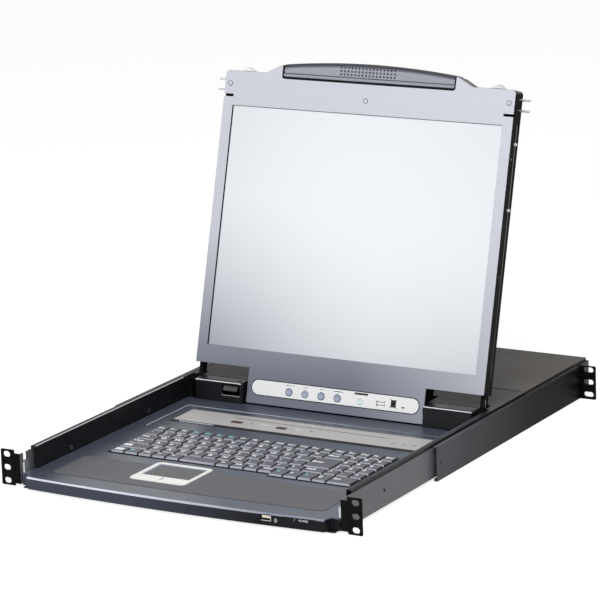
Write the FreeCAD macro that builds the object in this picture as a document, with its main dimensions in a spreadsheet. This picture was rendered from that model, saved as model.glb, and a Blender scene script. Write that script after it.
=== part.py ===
"""A rack console drawer: rails, a sliding keyboard drawer, a folding display and a switch module.

Millimetres. X is across the rack, Y runs from front to back and Z is up. The pieces are built with
Z = 0 at the underside, and each is then placed so that the origin is the centre of the front rack
slots. Pieces of the display are built lying closed, from the hinge axis: x across, y towards the
back (so the display reaches to negative y) and z up from the axis, with the screen facing down.
"""
import FreeCAD, Part
import os
import Sketcher

doc = FreeCAD.newDocument("ConsoleDrawer")
sheet = doc.addObject("Spreadsheet::Sheet", "Sizes")

SIZES = {
    # rack and ears
    "rack_unit": 44.45,
    "rack_slot_span": 465.1,
    "rack_slot_pitch": 15.875,
    "rack_slot_length": 9.6,
    "rack_slot_height": 7.0,
    "ear_margin": 8.25,
    "ear_neck_step": 7.0,
    "ear_thickness": 2.0,
    "ear_round": 1.5,
    "ear_low": 0.8,
    "ear_high": 44.0,
    "rear_ear_margin": 9.45,
    "rear_ear_high": 43.0,
    "rear_slot_length": 13.0,
    "rear_slot_height": 6.4,
    # outer rails
    "rail_setback": 17.05,
    "rail_wall": 1.5,
    "rail_low": 3.5,
    "rail_high": 40.0,
    "rail_past_case": 2.0,
    "guide_front": 30.0,
    "guide_rear": 455.0,
    "guide_lip": 1.2,
    "guide_lip_width": 2.1,
    "catch_notch_front": 7.5,
    "catch_notch_rear": 14.0,
    "catch_notch_low": 30.5,
    "service_hole_radius": 2.2,
    "service_hole_y": 98.2,
    "service_hole_z": 22.5,
    # sliding members between the rails and the drawer
    "slide_space": 4.8,
    "slide_low": 12.0,
    "slide_high": 30.0,
    "slide_flange": 1.2,
    "slide_web": 1.2,
    "slide_length": 410.0,
    "running_gap": 0.05,
    # rear brackets
    "bracket_step": 6.0,
    "bracket_wall": 1.5,
    "bracket_round": 1.2,
    "bracket_lip_gap": 0.8,
    "bracket_lip_height": 2.0,
    "bracket_high": 42.0,
    "bracket_front": 215.0,
    "bracket_rear": 600.0,
    "bracket_hole_y": 225.0,
    "bracket_hole_z": 20.3,
    "bracket_hole_radius": 1.8,
    "bracket_guide_length": 50.0,
    "bracket_guide_front": 392.0,
    "bracket_guide_rear": 480.0,
    # switch module
    "case_front": 463.0,
    "case_rear": 635.0,
    "case_sheet": 1.5,
    "cover_sheet": 1.2,
    "cover_top": 43.5,
    "cover_overhang": 0.5,
    "cover_skirt": 4.3,
    "cover_screw_edge": 14.0,
    "cover_screw_recess": 11.0,
    "cover_screw_setback": 8.0,
    "case_tab": 20.0,
    "case_tab_half": 5.0,
    "screw_head_radius": 2.6,
    "screw_head_height": 0.6,
    "screw_shank_radius": 1.5,
    "screw_shank_length": 5.0,
    "rail_screw_setback": 75.0,
    "rail_screw_pitch": 50.0,
    "rail_screw_past": 0.5,
    "board_standoff": 6.5,
    "board_thickness": 1.6,
    "board_recess": 21.0,
    "board_setback": 14.0,
    "board_inset": 26.5,
    "board_gap": 10.0,
    "board_post_inset": 10.0,
    "chip_size": 24.0,
    "chip_height": 2.4,
    "chip_setback": 50.0,
    "chip_count": 4,
    "standoff_radius": 3.0,
    "supply_width": 94.0,
    "supply_inset": 12.5,
    "supply_setback": 39.0,
    "supply_height": 36.0,
    # ports of the switch module
    "port_count": 8,
    "port_inset": 36.5,
    "port_width": 16.4,
    "port_height": 8.3,
    "port_flange_gap": 1.0,
    "port_flange_height": 12.0,
    "port_flange_sheet": 0.8,
    "port_reach": 6.0,
    "port_depth": 12.0,
    "port_z": 17.5,
    "port_wall": 0.8,
    "port_recess": 1.2,
    "console_count": 4,
    "console_gap": 4.0,
    "console_to_inlet": 116.0,
    "console_pitch": 19.0,
    "console_width": 15.0,
    "console_height": 14.0,
    "console_z": 17.0,
    "console_reach": 3.0,
    "inlet_inset": 72.5,
    "inlet_width": 28.0,
    "inlet_height": 20.0,
    "inlet_depth": 24.0,
    "inlet_wall": 1.8,
    "inlet_flange": 3.0,
    "inlet_flange_sheet": 2.4,
    "inlet_z": 20.5,
    "inlet_pin_radius": 1.5,
    "inlet_pin_sunk": 5.0,
    "inlet_pin_pitch": 7.0,
    "inlet_pin_rise": 2.0,
    "rocker_offset": 40.0,
    "rocker_width": 12.0,
    "rocker_height": 18.0,
    "rocker_frame": 2.0,
    "rocker_depth": 14.0,
    "rocker_pivot_depth": 6.0,
    "rocker_pin_radius": 1.5,
    "rocker_end_gap": 1.6,
    "rocker_root": 2.0,
    "rocker_root_half": 3.0,
    "rocker_low_sunk": 0.6,
    "rocker_high": 1.6,
    "rocker_slope": 0.8,
    "rocker_flat_sunk": 0.2,
    "cut_over": 1.0,
    # drawer
    "drawer_front": 24.0,
    "drawer_rear": 461.0,
    "drawer_wall": 1.2,
    "drawer_top": 44.0,
    "drawer_flange": 6.6,
    "drawer_flange_lip": 2.2,
    "pan_low": 1.2,
    "pan_sheet": 1.2,
    "pan_front": -4.0,
    "drawer_hole_rear": 270.5,
    "drawer_hole_radius": 1.8,
    "deck_top": 43.5,
    "deck_sheet": 1.2,
    "deck_notch_gap": 4.7,
    "deck_notch_side": 1.5,
    "deck_slot_side": 0.5,
    "deck_slot_margin": 0.6,
    "deck_slot_rear": 13.0,
    # keyboard tray
    "tray_top": 17.2,
    "tray_skin": 2.5,
    "tray_wall": 3.0,
    "fascia_inset": 9.6,
    "fascia_front": -10.4,
    "fascia_bow": 6.6,
    "fascia_corner": 3.0,
    "fascia_end_inset": 6.0,
    "fascia_end_y": 1.0,
    "ledge_gap": 2.0,
    "ledge_front": 0.5,
    "tray_edge_round": 1.2,
    "tray_side_round": 2.0,
    "tray_setback": 18.0,
    # palm rest plate and touchpad
    "palm_inset": 16.0,
    "palm_front": 16.5,
    "palm_rear": 90.5,
    "palm_corner": 8.0,
    "palm_bow": 3.0,
    "palm_sheet": 1.2,
    "palm_proud": 0.4,
    "pad_frame_left": -87.0,
    "pad_frame_right": -11.0,
    "pad_frame_front": 33.0,
    "pad_frame_rear": 102.0,
    "pad_frame_corner": 7.0,
    "pad_frame_proud": 1.0,
    "pad_frame_height": 5.4,
    "pad_rim": 5.5,
    "pad_thickness": 1.5,
    "pad_sunk": 1.2,
    "pad_button_front": 35.5,
    "pad_button_rear": 50.0,
    "pad_bar": 3.0,
    "pad_split": 0.5,
    "pad_button_sunk": 0.3,
    "pad_button_height": 3.0,
    "pad_button_clear": 0.9,
    # keyboard
    "key_pitch": 19.05,
    "key_row_pitch": 18.6,
    "key_field_pitches": 17.3228346,
    "key_field_front": 115.5,
    "key_gap": 0.8,
    "key_taper": 1.5,
    "key_height": 4.9,
    "key_top": 20.0,
    "key_step": 7.4,
    "key_travel_room": 2.1,
    "key_stem_half": 2.9,
    "key_stem_side": 3.0,
    "key_stem_length": 6.4,
    "key_slot_room": 2.1,
    "well_margin_x": 3.4,
    "well_margin_y": 2.2,
    "keyboard_floor": 3.0,
    "keyboard_rim": 4.0,
    "keyboard_foot": 10.0,
    # status panel
    "status_inset": 38.0,
    "status_front": 265.0,
    "status_rear": 311.0,
    "status_sheet": 1.7,
    "status_proud": 0.4,
    # front socket and lamp
    "usb_inset": 65.4,
    "usb_width": 14.4,
    "usb_low": 7.9,
    "usb_high": 16.0,
    "usb_wall": 1.0,
    "usb_depth": 18.0,
    "usb_front": -14.6,
    "usb_tongue": 1.8,
    "usb_tongue_sunk": 2.0,
    "lamp_inset": 37.0,
    "lamp_z": 13.0,
    "lamp_radius": 1.6,
    "lamp_front": -13.0,
    "lamp_length": 12.0,
    # controller board in the drawer
    "control_board_half": 90.0,
    "control_board_front": 246.0,
    "control_board_rear": 336.0,
    "control_board_standoff": 3.0,
    "control_post_inset": 8.0,
    "control_chip_inset": 30.0,
    # hinge covers, brackets and lever
    "hinge_y": 378.0,
    "hinge_z": 33.75,
    "lean": 15.93,
    "hinge_cover_front": 22.0,
    "hinge_cover_rear": 1.6,
    "hinge_cover_inner": 127.0,
    "hinge_cover_top": 43.0,
    "hinge_cover_wall": 1.5,
    "hinge_cover_round": 1.5,
    "hinge_cover_gap": 1.0,
    "hinge_bracket": 6.0,
    "hinge_bracket_front": 12.0,
    "hinge_bracket_rear": 20.0,
    "hinge_bracket_top": 6.0,
    "hinge_pin_radius": 2.5,
    "cover_screw_inset": 8.6,
    "cover_screw_setback": 8.3,
    "lever_left": -155.0,
    "lever_right": -130.0,
    "lever_low": 26.5,
    "lever_high": 39.6,
    "lever_margin": 2.5,
    "lever_pivot_y": 18.4,
    "lever_pivot_z": 3.85,
    "lever_pin_radius": 1.2,
    "lever_lug": 3.0,
    "lever_lug_gap": 0.5,
    "lever_lug_back": 2.4,
    "lever_lug_drop": 2.6,
    "lever_root": 1.3,
    "lever_reach": 5.1,
    "lever_shoulder": 4.0,
    "lever_drop": 5.4,
    "lever_toe": 3.3,
    "lever_pin_gap": 0.2,
    # display
    "lid_side_gap": 6.0,
    "lid_face": 12.25,
    "lid_thickness": 21.8,
    "lid_seam": 16.0,
    "lid_wall": 2.0,
    "lid_plate": 2.5,
    "lid_top": 391.1,
    "lid_wing": 24.1,
    "lid_tail": 19.3,
    "lid_tail_gap": 3.0,
    "lid_corner": 5.0,
    "lid_rise": 10.4,
    "lid_rise_inner": 124.0,
    "lid_rise_outer": 144.0,
    "lid_rise_round": 8.0,
    "lid_back_round": 1.5,
    "grip_half": 120.0,
    "grip_low": 386.1,
    "grip_high": 402.1,
    "grip_bow": 6.9,
    "grip_proud": 0.3,
    "grip_step_depth": 1.4,
    "grip_step": 9.0,
    "hand_room_end": 12.0,
    "hand_room_top": 2.0,
    "hand_room_bottom": 4.0,
    "window_border": 13.9,
    "window_low": 47.0,
    "window_high": 347.8,
    "screen_sheet": 0.8,
    "screen_gap": 0.1,
    "panel_border": 9.5,
    "panel_low": 38.0,
    "panel_high": 356.0,
    "panel_thickness": 8.0,
    "notch_length": 13.5,
    "notch_centre": 360.1,
    "notch_width": 3.0,
    "notch_depth": 4.0,
    "face_screw_edge": 7.7,
    "face_screw_y": 374.8,
    "face_screw_middle": 364.7,
    "side_screw_near": 247.3,
    "side_screw_far": 326.7,
    "back_screw_inset": 16.0,
    "back_screw_low": 62.0,
    "back_screw_high": 340.0,
    "back_screw_past": 2.0,
    "vent_start": 20.0,
    "vent_pitch": 6.0,
    "vent_width": 2.0,
    "vent_count": 12,
    "arm_width": 5.0,
    "arm_half_height": 5.0,
    "arm_hub_radius": 7.5,
    "arm_reach": 66.1,
    # display boards
    "main_board_half": 80.0,
    "main_board_low": 100.0,
    "main_board_high": 210.0,
    "display_chip_inset": 24.0,
    "display_chip_setback": 38.0,
    "key_board_half": 112.0,
    "key_board_low": -9.0,
    "key_board_high": 12.0,
    "key_board_drop": 4.4,
    "key_board_boss": 5.0,
    "tact_clear": 0.9,
    "tact_half": 3.0,
    # control strip, buttons and jack
    "strip_half": 117.0,
    "strip_low": -7.9,
    "strip_high": 10.6,
    "strip_sunk": 0.8,
    "strip_proud": 0.3,
    "menu_first_x": -64.0,
    "menu_pitch": 22.8,
    "menu_y": -0.5,
    "display_power_x": 36.2,
    "button_radius": 4.15,
    "button_proud": 0.9,
    "button_flange": 0.9,
    "button_flange_gap": 0.1,
    "button_collar": 1.0,
    "jack_x": 82.3,
    "jack_y": 1.2,
    "jack_half_width": 3.5,
    "jack_half_height": 4.5,
    "jack_proud": 0.6,
    "jack_bore": 1.8,
    "jack_bore_depth": 6.0,
    # side catches of the display
    "catch_bar_edge": 3.0,
    "catch_bar_length": 32.0,
    "catch_bar_low": 362.5,
    "catch_bar_high": 383.5,
    "catch_bar_front": 4.0,
    "catch_bar_back": 2.0,
    "catch_prong_radius": 1.4,
    "catch_prong_past": 1.5,
    "catch_prong_root": 1.0,
    "catch_prong_near": 367.1,
    "catch_prong_far": 380.1,
    "catch_prong_drop": 0.75,
    "catch_neck_edge": 24.0,
    "catch_neck_width": 9.0,
    "catch_flap_edge": 19.0,
    "catch_flap_width": 19.0,
    "catch_flap_lean": 7.4,
    "catch_flap_side": 3.0,
    "catch_flap_base": 0.5,
    "catch_flap_height": 5.5,
    "catch_travel": 5.0,
}

# Widths of the keys of each row, in key pitches, from the left.
KEY_ROWS = {
    "space": [1.0] * 5 + [2.62] + [1.0] * 4,
    "lower": [2.09] + [1.0] * 11 + [1.52] + [0.907] * 3,
    "home": [1.66] + [1.0] * 11 + [1.92] + [0.917] * 3,
    "upper": [1.41] + [1.0] * 10 + [1.25],
    "number": [1.0] * 13 + [1.58] + [0.917] * 3,
    "function": [0.8661] * 20,
}
ARROW_KEYS = [1.0] * 4 + [1.7]
PAD_KEYS = [0.917] * 3
ENTER_KEY = 12
SIDES = {"left": -1, "right": 1}


class Dim:
    """A length: the expression that binds it to the sheet, and its value now."""

    def __init__(self, text, value):
        self.text = text
        self.value = value

    def __add__(self, other):
        other = dim(other)
        return Dim(f"({self.text} + {other.text})", self.value + other.value)

    def __sub__(self, other):
        other = dim(other)
        return Dim(f"({self.text} - {other.text})", self.value - other.value)

    def __mul__(self, other):
        other = dim(other)
        return Dim(f"({self.text} * {other.text})", self.value * other.value)

    def __truediv__(self, other):
        other = dim(other)
        return Dim(f"({self.text} / {other.text})", self.value / other.value)

    def __neg__(self):
        return self * -1

    def __radd__(self, other):
        return dim(other) + self

    def __rsub__(self, other):
        return dim(other) - self

    def __rmul__(self, other):
        return dim(other) * self


class Sheet:
    """The sizes by name, each as a Dim that is read from the sheet."""

    def __getattr__(self, alias):
        return Dim("Sizes." + alias, float(sheet.get(alias)))


def dim(number):
    """A Dim from a Dim or a plain number."""
    if isinstance(number, Dim):
        return number
    return Dim(f"({number})", float(number))


def fill_sheet():
    for row, (alias, value) in enumerate(SIZES.items(), start=1):
        sheet.set(f"A{row}", str(value))
        sheet.setAlias(f"A{row}", alias)
    doc.recompute()


fill_sheet()
D = Sheet()


# ---------------------------------------------------------------- modelling helpers

def bind(piece, name, length):
    piece.setExpression(name, dim(length).text)


def ordered(span):
    """The two ends of a span, the lower one first."""
    low, high = dim(span[0]), dim(span[1])
    if low.value > high.value:
        return high, low
    return low, high


def block(x, y, z):
    """A box from three spans."""
    box = doc.addObject("Part::Box", "Block")
    for span, side, axis in ((x, "Length", "x"), (y, "Width", "y"), (z, "Height", "z")):
        low, high = ordered(span)
        bind(box, side, high - low)
        bind(box, "Placement.Base." + axis, low)
    return box


TURNS = {
    "X": FreeCAD.Rotation(FreeCAD.Vector(0, 1, 0), 90),
    "Y": FreeCAD.Rotation(FreeCAD.Vector(1, 0, 0), -90),
    "Z": FreeCAD.Rotation(),
}


def rod(axis, centre, radius, span):
    """A round bar along an axis; its centre is given in the other two axes, in order."""
    low, high = ordered(span)
    bar = doc.addObject("Part::Cylinder", "Rod")
    bar.Placement = FreeCAD.Placement(FreeCAD.Vector(), TURNS[axis])
    bind(bar, "Radius", radius)
    bind(bar, "Height", high - low)
    first, second = centre
    place = {"X": (low, first, second), "Y": (first, low, second), "Z": (first, second, low)}[axis]
    for name, value in zip("xyz", place):
        bind(bar, "Placement.Base." + name, value)
    return bar


def tapered_key(x, y, low, height, taper):
    """A key cap: a block whose four sides lean in by the taper."""
    (x0, x1), (y0, y1) = ordered(x), ordered(y)
    cap = doc.addObject("Part::Wedge", "Key")
    cap.Placement = FreeCAD.Placement(FreeCAD.Vector(), FreeCAD.Rotation(FreeCAD.Vector(1, 0, 0), 90))
    values = {
        "Xmin": x0, "Xmax": x1, "X2min": x0 + taper, "X2max": x1 - taper,
        "Zmin": -y1, "Zmax": -y0, "Z2min": taper - y1, "Z2max": -y0 - taper,
        "Ymin": 0, "Ymax": height,
    }
    for name, value in values.items():
        bind(cap, name, value)
    bind(cap, "Placement.Base.z", low)
    return cap


SAME_PLACE = 1e-4


def add_outline(sketch, points, bows):
    """Closed outline of lines, or of arcs where an edge has a bow, each corner fixed by two sizes."""
    count = len(points)
    flat = [FreeCAD.Vector(u.value, v.value, 0) for u, v in points]
    ends = []
    for index in range(count):
        start, end = flat[index], flat[(index + 1) % count]
        if index in bows:
            chord = end.sub(start)
            side = FreeCAD.Vector(chord.y, -chord.x, 0).normalize()
            middle = (start + end) * 0.5 + side * bows[index].value
            edge = Part.Arc(start, middle, end)
            edge_id = sketch.addGeometry(edge, False)
            first = sketch.getPoint(edge_id, 1)
            ends.append((edge_id, 1, 2) if first.distanceToPoint(start) < 1e-6 else (edge_id, 2, 1))
        else:
            edge_id = sketch.addGeometry(Part.LineSegment(start, end), False)
            ends.append((edge_id, 1, 2))
    for index in range(count):
        edge_id, _, last = ends[index]
        next_id, first, _ = ends[(index + 1) % count]
        sketch.addConstraint(Sketcher.Constraint("Coincident", edge_id, last, next_id, first))
    for index, (u, v) in enumerate(points):
        edge_id, first, _ = ends[index]
        for kind, length in (("DistanceX", u), ("DistanceY", v)):
            rule = Sketcher.Constraint(kind, -1, 1, edge_id, first, length.value)
            sketch.setExpression(f"Constraints[{sketch.addConstraint(rule)}]", length.text)
    for index, bow in bows.items():
        (u0, v0), (u1, v1) = points[index], points[(index + 1) % count]
        half = ((u1 - u0) * (u1 - u0) + (v1 - v0) * (v1 - v0)) / 4
        radius = (half + bow * bow) / (2 * bow)
        rule = Sketcher.Constraint("Radius", ends[index][0], radius.value)
        sketch.setExpression(f"Constraints[{sketch.addConstraint(rule)}]", radius.text)


def corner_edges(shape, point, axes):
    """Names of the edges that run along the extrusion through a corner of the outline."""
    names = []
    for index, edge in enumerate(shape.Edges, start=1):
        near = [
            abs(getattr(vertex.Point, axis) - value) < SAME_PLACE
            for vertex in edge.Vertexes for axis, value in zip(axes, point)
        ]
        if len(edge.Vertexes) > 1 and all(near):
            names.append(f"Edge{index}")
    return names


def prism(plane, points, span, rounds=None, bows=None):
    """A body that extrudes an outline along the third axis, with some corners rounded."""
    axes = plane.lower()
    points = [(dim(u), dim(v)) for u, v in points]
    bows = {index: dim(bow) for index, bow in (bows or {}).items()}
    low, high = ordered(span)
    body = doc.addObject("PartDesign::Body", "Body")
    sketch = body.newObject("Sketcher::SketchObject", "Outline")
    origin_plane = [item for item in body.Origin.OriginFeatures if item.Role == plane + "_Plane"][0]
    sketch.AttachmentSupport = [(origin_plane, "")]
    sketch.MapMode = "FlatFace"
    bind(sketch, "AttachmentOffset.Base.z", -high if plane == "XZ" else low)
    add_outline(sketch, points, bows)
    pad = body.newObject("PartDesign::Pad", "Pad")
    pad.Profile = sketch
    bind(pad, "Length", high - low)
    doc.recompute()
    for radius, corners in (rounds or {}).items():
        shape = body.Tip.Shape
        names = []
        for corner in corners:
            u, v = points[corner]
            names += corner_edges(shape, (u.value, v.value), axes)
        base = body.Tip
        fillet = body.newObject("PartDesign::Fillet", "Round")
        fillet.Base = (base, names)
        bind(fillet, "Radius", getattr(D, radius))
        doc.recompute()
    return body


def round_edges(body, radius, wanted):
    """Rounds the edges of a body that a test picks by their middle point."""
    base = body.Tip
    names = []
    for index, edge in enumerate(base.Shape.Edges, start=1):
        middle = edge.valueAt((edge.FirstParameter + edge.LastParameter) / 2)
        if wanted(middle):
            names.append(f"Edge{index}")
    fillet = body.newObject("PartDesign::Fillet", "EdgeRound")
    fillet.Base = (base, names)
    bind(fillet, "Radius", radius)
    doc.recompute()
    return body


def fuse(*pieces):
    if len(pieces) == 1:
        return pieces[0]
    joined = doc.addObject("Part::MultiFuse", "Joined")
    joined.Shapes = list(pieces)
    return joined


def cut(base, *tools):
    left = doc.addObject("Part::Cut", "Cut")
    left.Base = base
    left.Tool = fuse(*tools)
    return left


def group(*pieces):
    """Separate solids that share one node."""
    gathered = doc.addObject("Part::Compound", "Group")
    gathered.Links = list(pieces)
    return gathered


def slot(axis, centre, length, height, span):
    """A round-ended slot through a plate, long in X; the plate faces along the axis."""
    cx, cz = centre
    straight = (length - height) / 2
    x = (cx - straight, cx + straight)
    other = (cz - height / 2, cz + height / 2)
    middle = block(x, span, other) if axis == "Y" else block(x, other, span)
    return fuse(middle, *[rod(axis, (end, cz), height / 2, span) for end in x])


PUBLISHED = []


def publish(piece, label, display=False):
    """Names a finished piece and sets it in the frame of the whole object."""
    if piece.isDerivedFrom("Part::Primitive"):
        piece = group(piece)
    piece.Label = label
    if display:
        turn = FreeCAD.Rotation(FreeCAD.Vector(1, 0, 0), -(90 + D.lean.value))
        piece.Placement = FreeCAD.Placement(FreeCAD.Vector(), turn)
        bind(piece, "Placement.Rotation.Angle", 90 + D.lean)
        piece.setExpression("Placement.Rotation.Axis.x", "-1")
        bind(piece, "Placement.Base.y", D.hinge_y)
        bind(piece, "Placement.Base.z", D.hinge_z - D.rack_unit / 2)
    else:
        bind(piece, "Placement.Base.z", -D.rack_unit / 2)
    PUBLISHED.append(piece)


# ---------------------------------------------------------------- shared places

OVER = D.cut_over
SLOT_X = D.rack_slot_span / 2
RAIL_OUTER = SLOT_X - D.rail_setback
RAIL_INNER = RAIL_OUTER - D.rail_wall
EAR_NECK = RAIL_OUTER + D.ear_neck_step
EAR_TIP = SLOT_X + D.ear_margin
REAR_EAR_TIP = SLOT_X + D.rear_ear_margin
BRACKET_OUTER = RAIL_OUTER + D.bracket_step
WALL_OUTER = RAIL_INNER - D.slide_space
WALL_INNER = WALL_OUTER - D.drawer_wall
BRACKET_INNER = WALL_INNER - D.hinge_bracket
LID_HALF = WALL_INNER - D.lid_side_gap
LID_INNER = LID_HALF - D.lid_wall
ARM_INNER = LID_INNER - D.arm_width
HINGE_COVER_OUTER = ARM_INNER - D.hinge_cover_gap
TAIL_HALF = D.hinge_cover_inner - D.lid_tail_gap
CASE_HALF = RAIL_INNER - D.case_sheet
CASE_TOP = D.cover_top - D.cover_sheet
RAIL_LENGTH = D.case_rear + D.rail_past_case
BOARD_FRONT = D.case_front + D.board_recess
BOARD_REAR = D.case_rear - D.board_setback
SUPPLY_REAR = D.case_rear - D.supply_setback
CASE_SCREW_FRONT = D.case_front + D.cover_screw_recess
CASE_SCREW_REAR = D.case_rear - D.cover_screw_setback
RAIL_SCREW_Y = D.case_rear - D.rail_screw_setback
COVER_SCREW_X = CASE_HALF - D.cover_screw_edge
SUPPLY_RIGHT = CASE_HALF - D.supply_inset
SUPPLY_LEFT = SUPPLY_RIGHT - D.supply_width
BOARD_LEFT = D.board_inset - CASE_HALF
BOARD_RIGHT = SUPPLY_LEFT - D.board_gap
INLET_X = CASE_HALF - D.inlet_inset
ROCKER_X = INLET_X + D.rocker_offset
CONSOLE_FIRST = INLET_X - D.console_to_inlet
PORT_FIRST = D.port_inset - CASE_HALF
PORT_PITCH = (CONSOLE_FIRST - D.console_gap - PORT_FIRST) / D.port_count
KEY_FIELD_HALF = D.key_pitch * D.key_field_pitches / 2
PAN_TOP = D.pan_low + D.pan_sheet
TRAY_CEILING = D.tray_top - D.tray_skin
FASCIA_HALF = WALL_INNER - D.fascia_inset
PALM_HALF = FASCIA_HALF - D.palm_inset
USB_RIGHT = FASCIA_HALF - D.usb_inset
USB_LEFT = USB_RIGHT - D.usb_width
LAMP_X = FASCIA_HALF - D.lamp_inset
STATUS_HALF = WALL_INNER - D.status_inset
TRAY_REAR = D.hinge_y - D.tray_setback
COVER_FRONT = D.hinge_y - D.hinge_cover_front
COVER_REAR = D.hinge_y - D.hinge_cover_rear
FACE_Z = -D.lid_face
FACE_INNER = FACE_Z + D.lid_plate
SEAM_Z = FACE_Z + D.lid_seam
BACK_Z = FACE_Z + D.lid_thickness
BACK_INNER = BACK_Z - D.lid_wall
BRACKET_LIP = RAIL_OUTER + D.bracket_lip_gap
BRACKET_INSIDE = BRACKET_OUTER - D.bracket_wall
WINDOW_HALF = LID_HALF - D.window_border
CATCH_NECK_OUTER = LID_HALF - D.catch_neck_edge
CATCH_NECK_INNER = CATCH_NECK_OUTER - D.catch_neck_width


def rail_screw_places():
    """Distances from the front of the screws that hold each rail to the switch module."""
    return (RAIL_SCREW_Y, RAIL_SCREW_Y + D.rail_screw_pitch)


def rack_slots(side, length, height, span):
    """Three slots at the rack's hole pitch through an ear."""
    middle = D.rack_unit / 2
    levels = (middle - D.rack_slot_pitch, middle, middle + D.rack_slot_pitch)
    return [slot("Y", (side * SLOT_X, z), length, height, span) for z in levels]


# ---------------------------------------------------------------- rails, slides and rear brackets

def build_rail(side, label):
    """Web with two inward guide lips, a front ear and a notch for the display's catch."""
    web_x = (side * RAIL_INNER, side * RAIL_OUTER)
    web = block(web_x, (0, RAIL_LENGTH), (D.rail_low, D.rail_high))
    lip_x = (side * (RAIL_INNER - D.guide_lip_width), side * RAIL_INNER)
    lip_y = (D.guide_front, D.guide_rear)
    above = D.slide_high + D.running_gap
    below = D.slide_low - D.running_gap
    lips = [
        block(lip_x, lip_y, (above, above + D.guide_lip)),
        block(lip_x, lip_y, (below - D.guide_lip, below)),
    ]
    ear = prism("XZ", [
        (side * RAIL_OUTER, D.rail_low),
        (side * EAR_NECK, D.rail_low),
        (side * EAR_NECK, D.ear_low),
        (side * EAR_TIP, D.ear_low),
        (side * EAR_TIP, D.ear_high),
        (side * EAR_NECK, D.ear_high),
        (side * EAR_NECK, D.rail_high),
        (side * RAIL_OUTER, D.rail_high),
    ], (0, D.ear_thickness), {"ear_round": [3, 4]})
    notch = block(
        (side * (RAIL_INNER - OVER), side * (RAIL_OUTER + OVER)),
        (D.catch_notch_front, D.catch_notch_rear),
        (D.catch_notch_low, D.rail_high + OVER),
    )
    hole = rod("X", (D.service_hole_y, D.service_hole_z), D.service_hole_radius,
               (side * (RAIL_INNER - OVER), side * (RAIL_OUTER + OVER)))
    fixings = [rod("X", (y, D.service_hole_z), D.screw_shank_radius,
                   (side * (RAIL_INNER - OVER), side * (RAIL_OUTER + OVER))) for y in rail_screw_places()]
    slots = rack_slots(side, D.rack_slot_length, D.rack_slot_height, (-1, D.ear_thickness + OVER))
    publish(cut(fuse(web, ear, *lips), notch, hole, *fixings, *slots), label)


def build_slide_member(side, label):
    """Ball-slide member: an I section that runs between the rail's and the drawer's lips."""
    outer = RAIL_INNER - D.running_gap
    inner = WALL_OUTER + D.running_gap
    middle = (outer + inner) / 2
    web_half = D.slide_web / 2
    low, high = D.slide_low, D.slide_high
    outline = [
        (inner, low), (outer, low), (outer, low + D.slide_flange),
        (middle + web_half, low + D.slide_flange), (middle + web_half, high - D.slide_flange),
        (outer, high - D.slide_flange), (outer, high), (inner, high),
        (inner, high - D.slide_flange), (middle - web_half, high - D.slide_flange),
        (middle - web_half, low + D.slide_flange), (inner, low + D.slide_flange),
    ]
    section = [(side * x, z) for x, z in outline]
    publish(prism("XZ", section, (D.guide_front, D.guide_front + D.slide_length)), label)


def build_rear_bracket(side, label):
    """Lipped channel that slides along the rail's outside, with an ear for the rear post."""
    lip = D.bracket_lip_height
    wall = D.bracket_wall
    top = D.bracket_high
    outline = [
        (BRACKET_LIP, 0), (BRACKET_OUTER, 0), (BRACKET_OUTER, top), (BRACKET_LIP, top),
        (BRACKET_LIP, top - wall - lip), (BRACKET_LIP + wall, top - wall - lip),
        (BRACKET_LIP + wall, top - wall), (BRACKET_INSIDE, top - wall), (BRACKET_INSIDE, wall),
        (BRACKET_LIP + wall, wall), (BRACKET_LIP + wall, wall + lip), (BRACKET_LIP, wall + lip),
    ]
    section = [(side * x, z) for x, z in outline]
    channel = prism("XZ", section, (D.bracket_front, D.bracket_rear), {"bracket_round": [1, 2]})
    plate_y = (D.bracket_rear, D.bracket_rear + D.ear_thickness)
    ear = prism("XZ", [
        (side * BRACKET_LIP, 0), (side * REAR_EAR_TIP, 0),
        (side * REAR_EAR_TIP, D.rear_ear_high), (side * BRACKET_LIP, D.rear_ear_high),
    ], plate_y, {"ear_round": [1, 2]})
    hole = rod("X", (D.bracket_hole_y, D.bracket_hole_z), D.bracket_hole_radius,
               (side * (BRACKET_INSIDE - OVER), side * (BRACKET_OUTER + OVER)))
    span = (D.bracket_rear - OVER, D.bracket_rear + D.ear_thickness + OVER)
    slots = rack_slots(side, D.rear_slot_length, D.rear_slot_height, span)
    publish(cut(fuse(channel, ear), hole, *slots), label)


def build_bracket_guides():
    """T-shaped runners on the rails, which the channels of the rear brackets slide on."""
    guides = []
    gap = D.running_gap
    neck = BRACKET_LIP + D.bracket_wall + gap
    lip_inside = D.bracket_wall + D.bracket_lip_height + gap
    for side in SIDES.values():
        for front in (D.bracket_guide_front, D.bracket_guide_rear):
            y = (front, front + D.bracket_guide_length)
            stem = block((side * RAIL_OUTER, side * neck), y,
                         (lip_inside, D.bracket_high - lip_inside))
            head = block((side * neck, side * (BRACKET_INSIDE - gap)), y,
                         (D.bracket_wall + gap, D.bracket_high - D.bracket_wall - gap))
            guides.append(fuse(stem, head))
    publish(group(*guides), "bracket_guides")


# ---------------------------------------------------------------- switch module

def screw(axis, centre, face, outwards, head=None):
    """A pan screw whose head stands on a face; outwards is +1 or -1 along the axis."""
    top = face + outwards * (head or D.screw_head_height)
    bottom = face - outwards * D.screw_shank_length
    return fuse(
        rod(axis, centre, D.screw_head_radius, (face, top)),
        rod(axis, centre, D.screw_shank_radius, (bottom, face)),
    )


def cover_screw_places():
    return [(side * COVER_SCREW_X, y) for side in SIDES.values()
            for y in (CASE_SCREW_FRONT, CASE_SCREW_REAR)]


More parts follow.
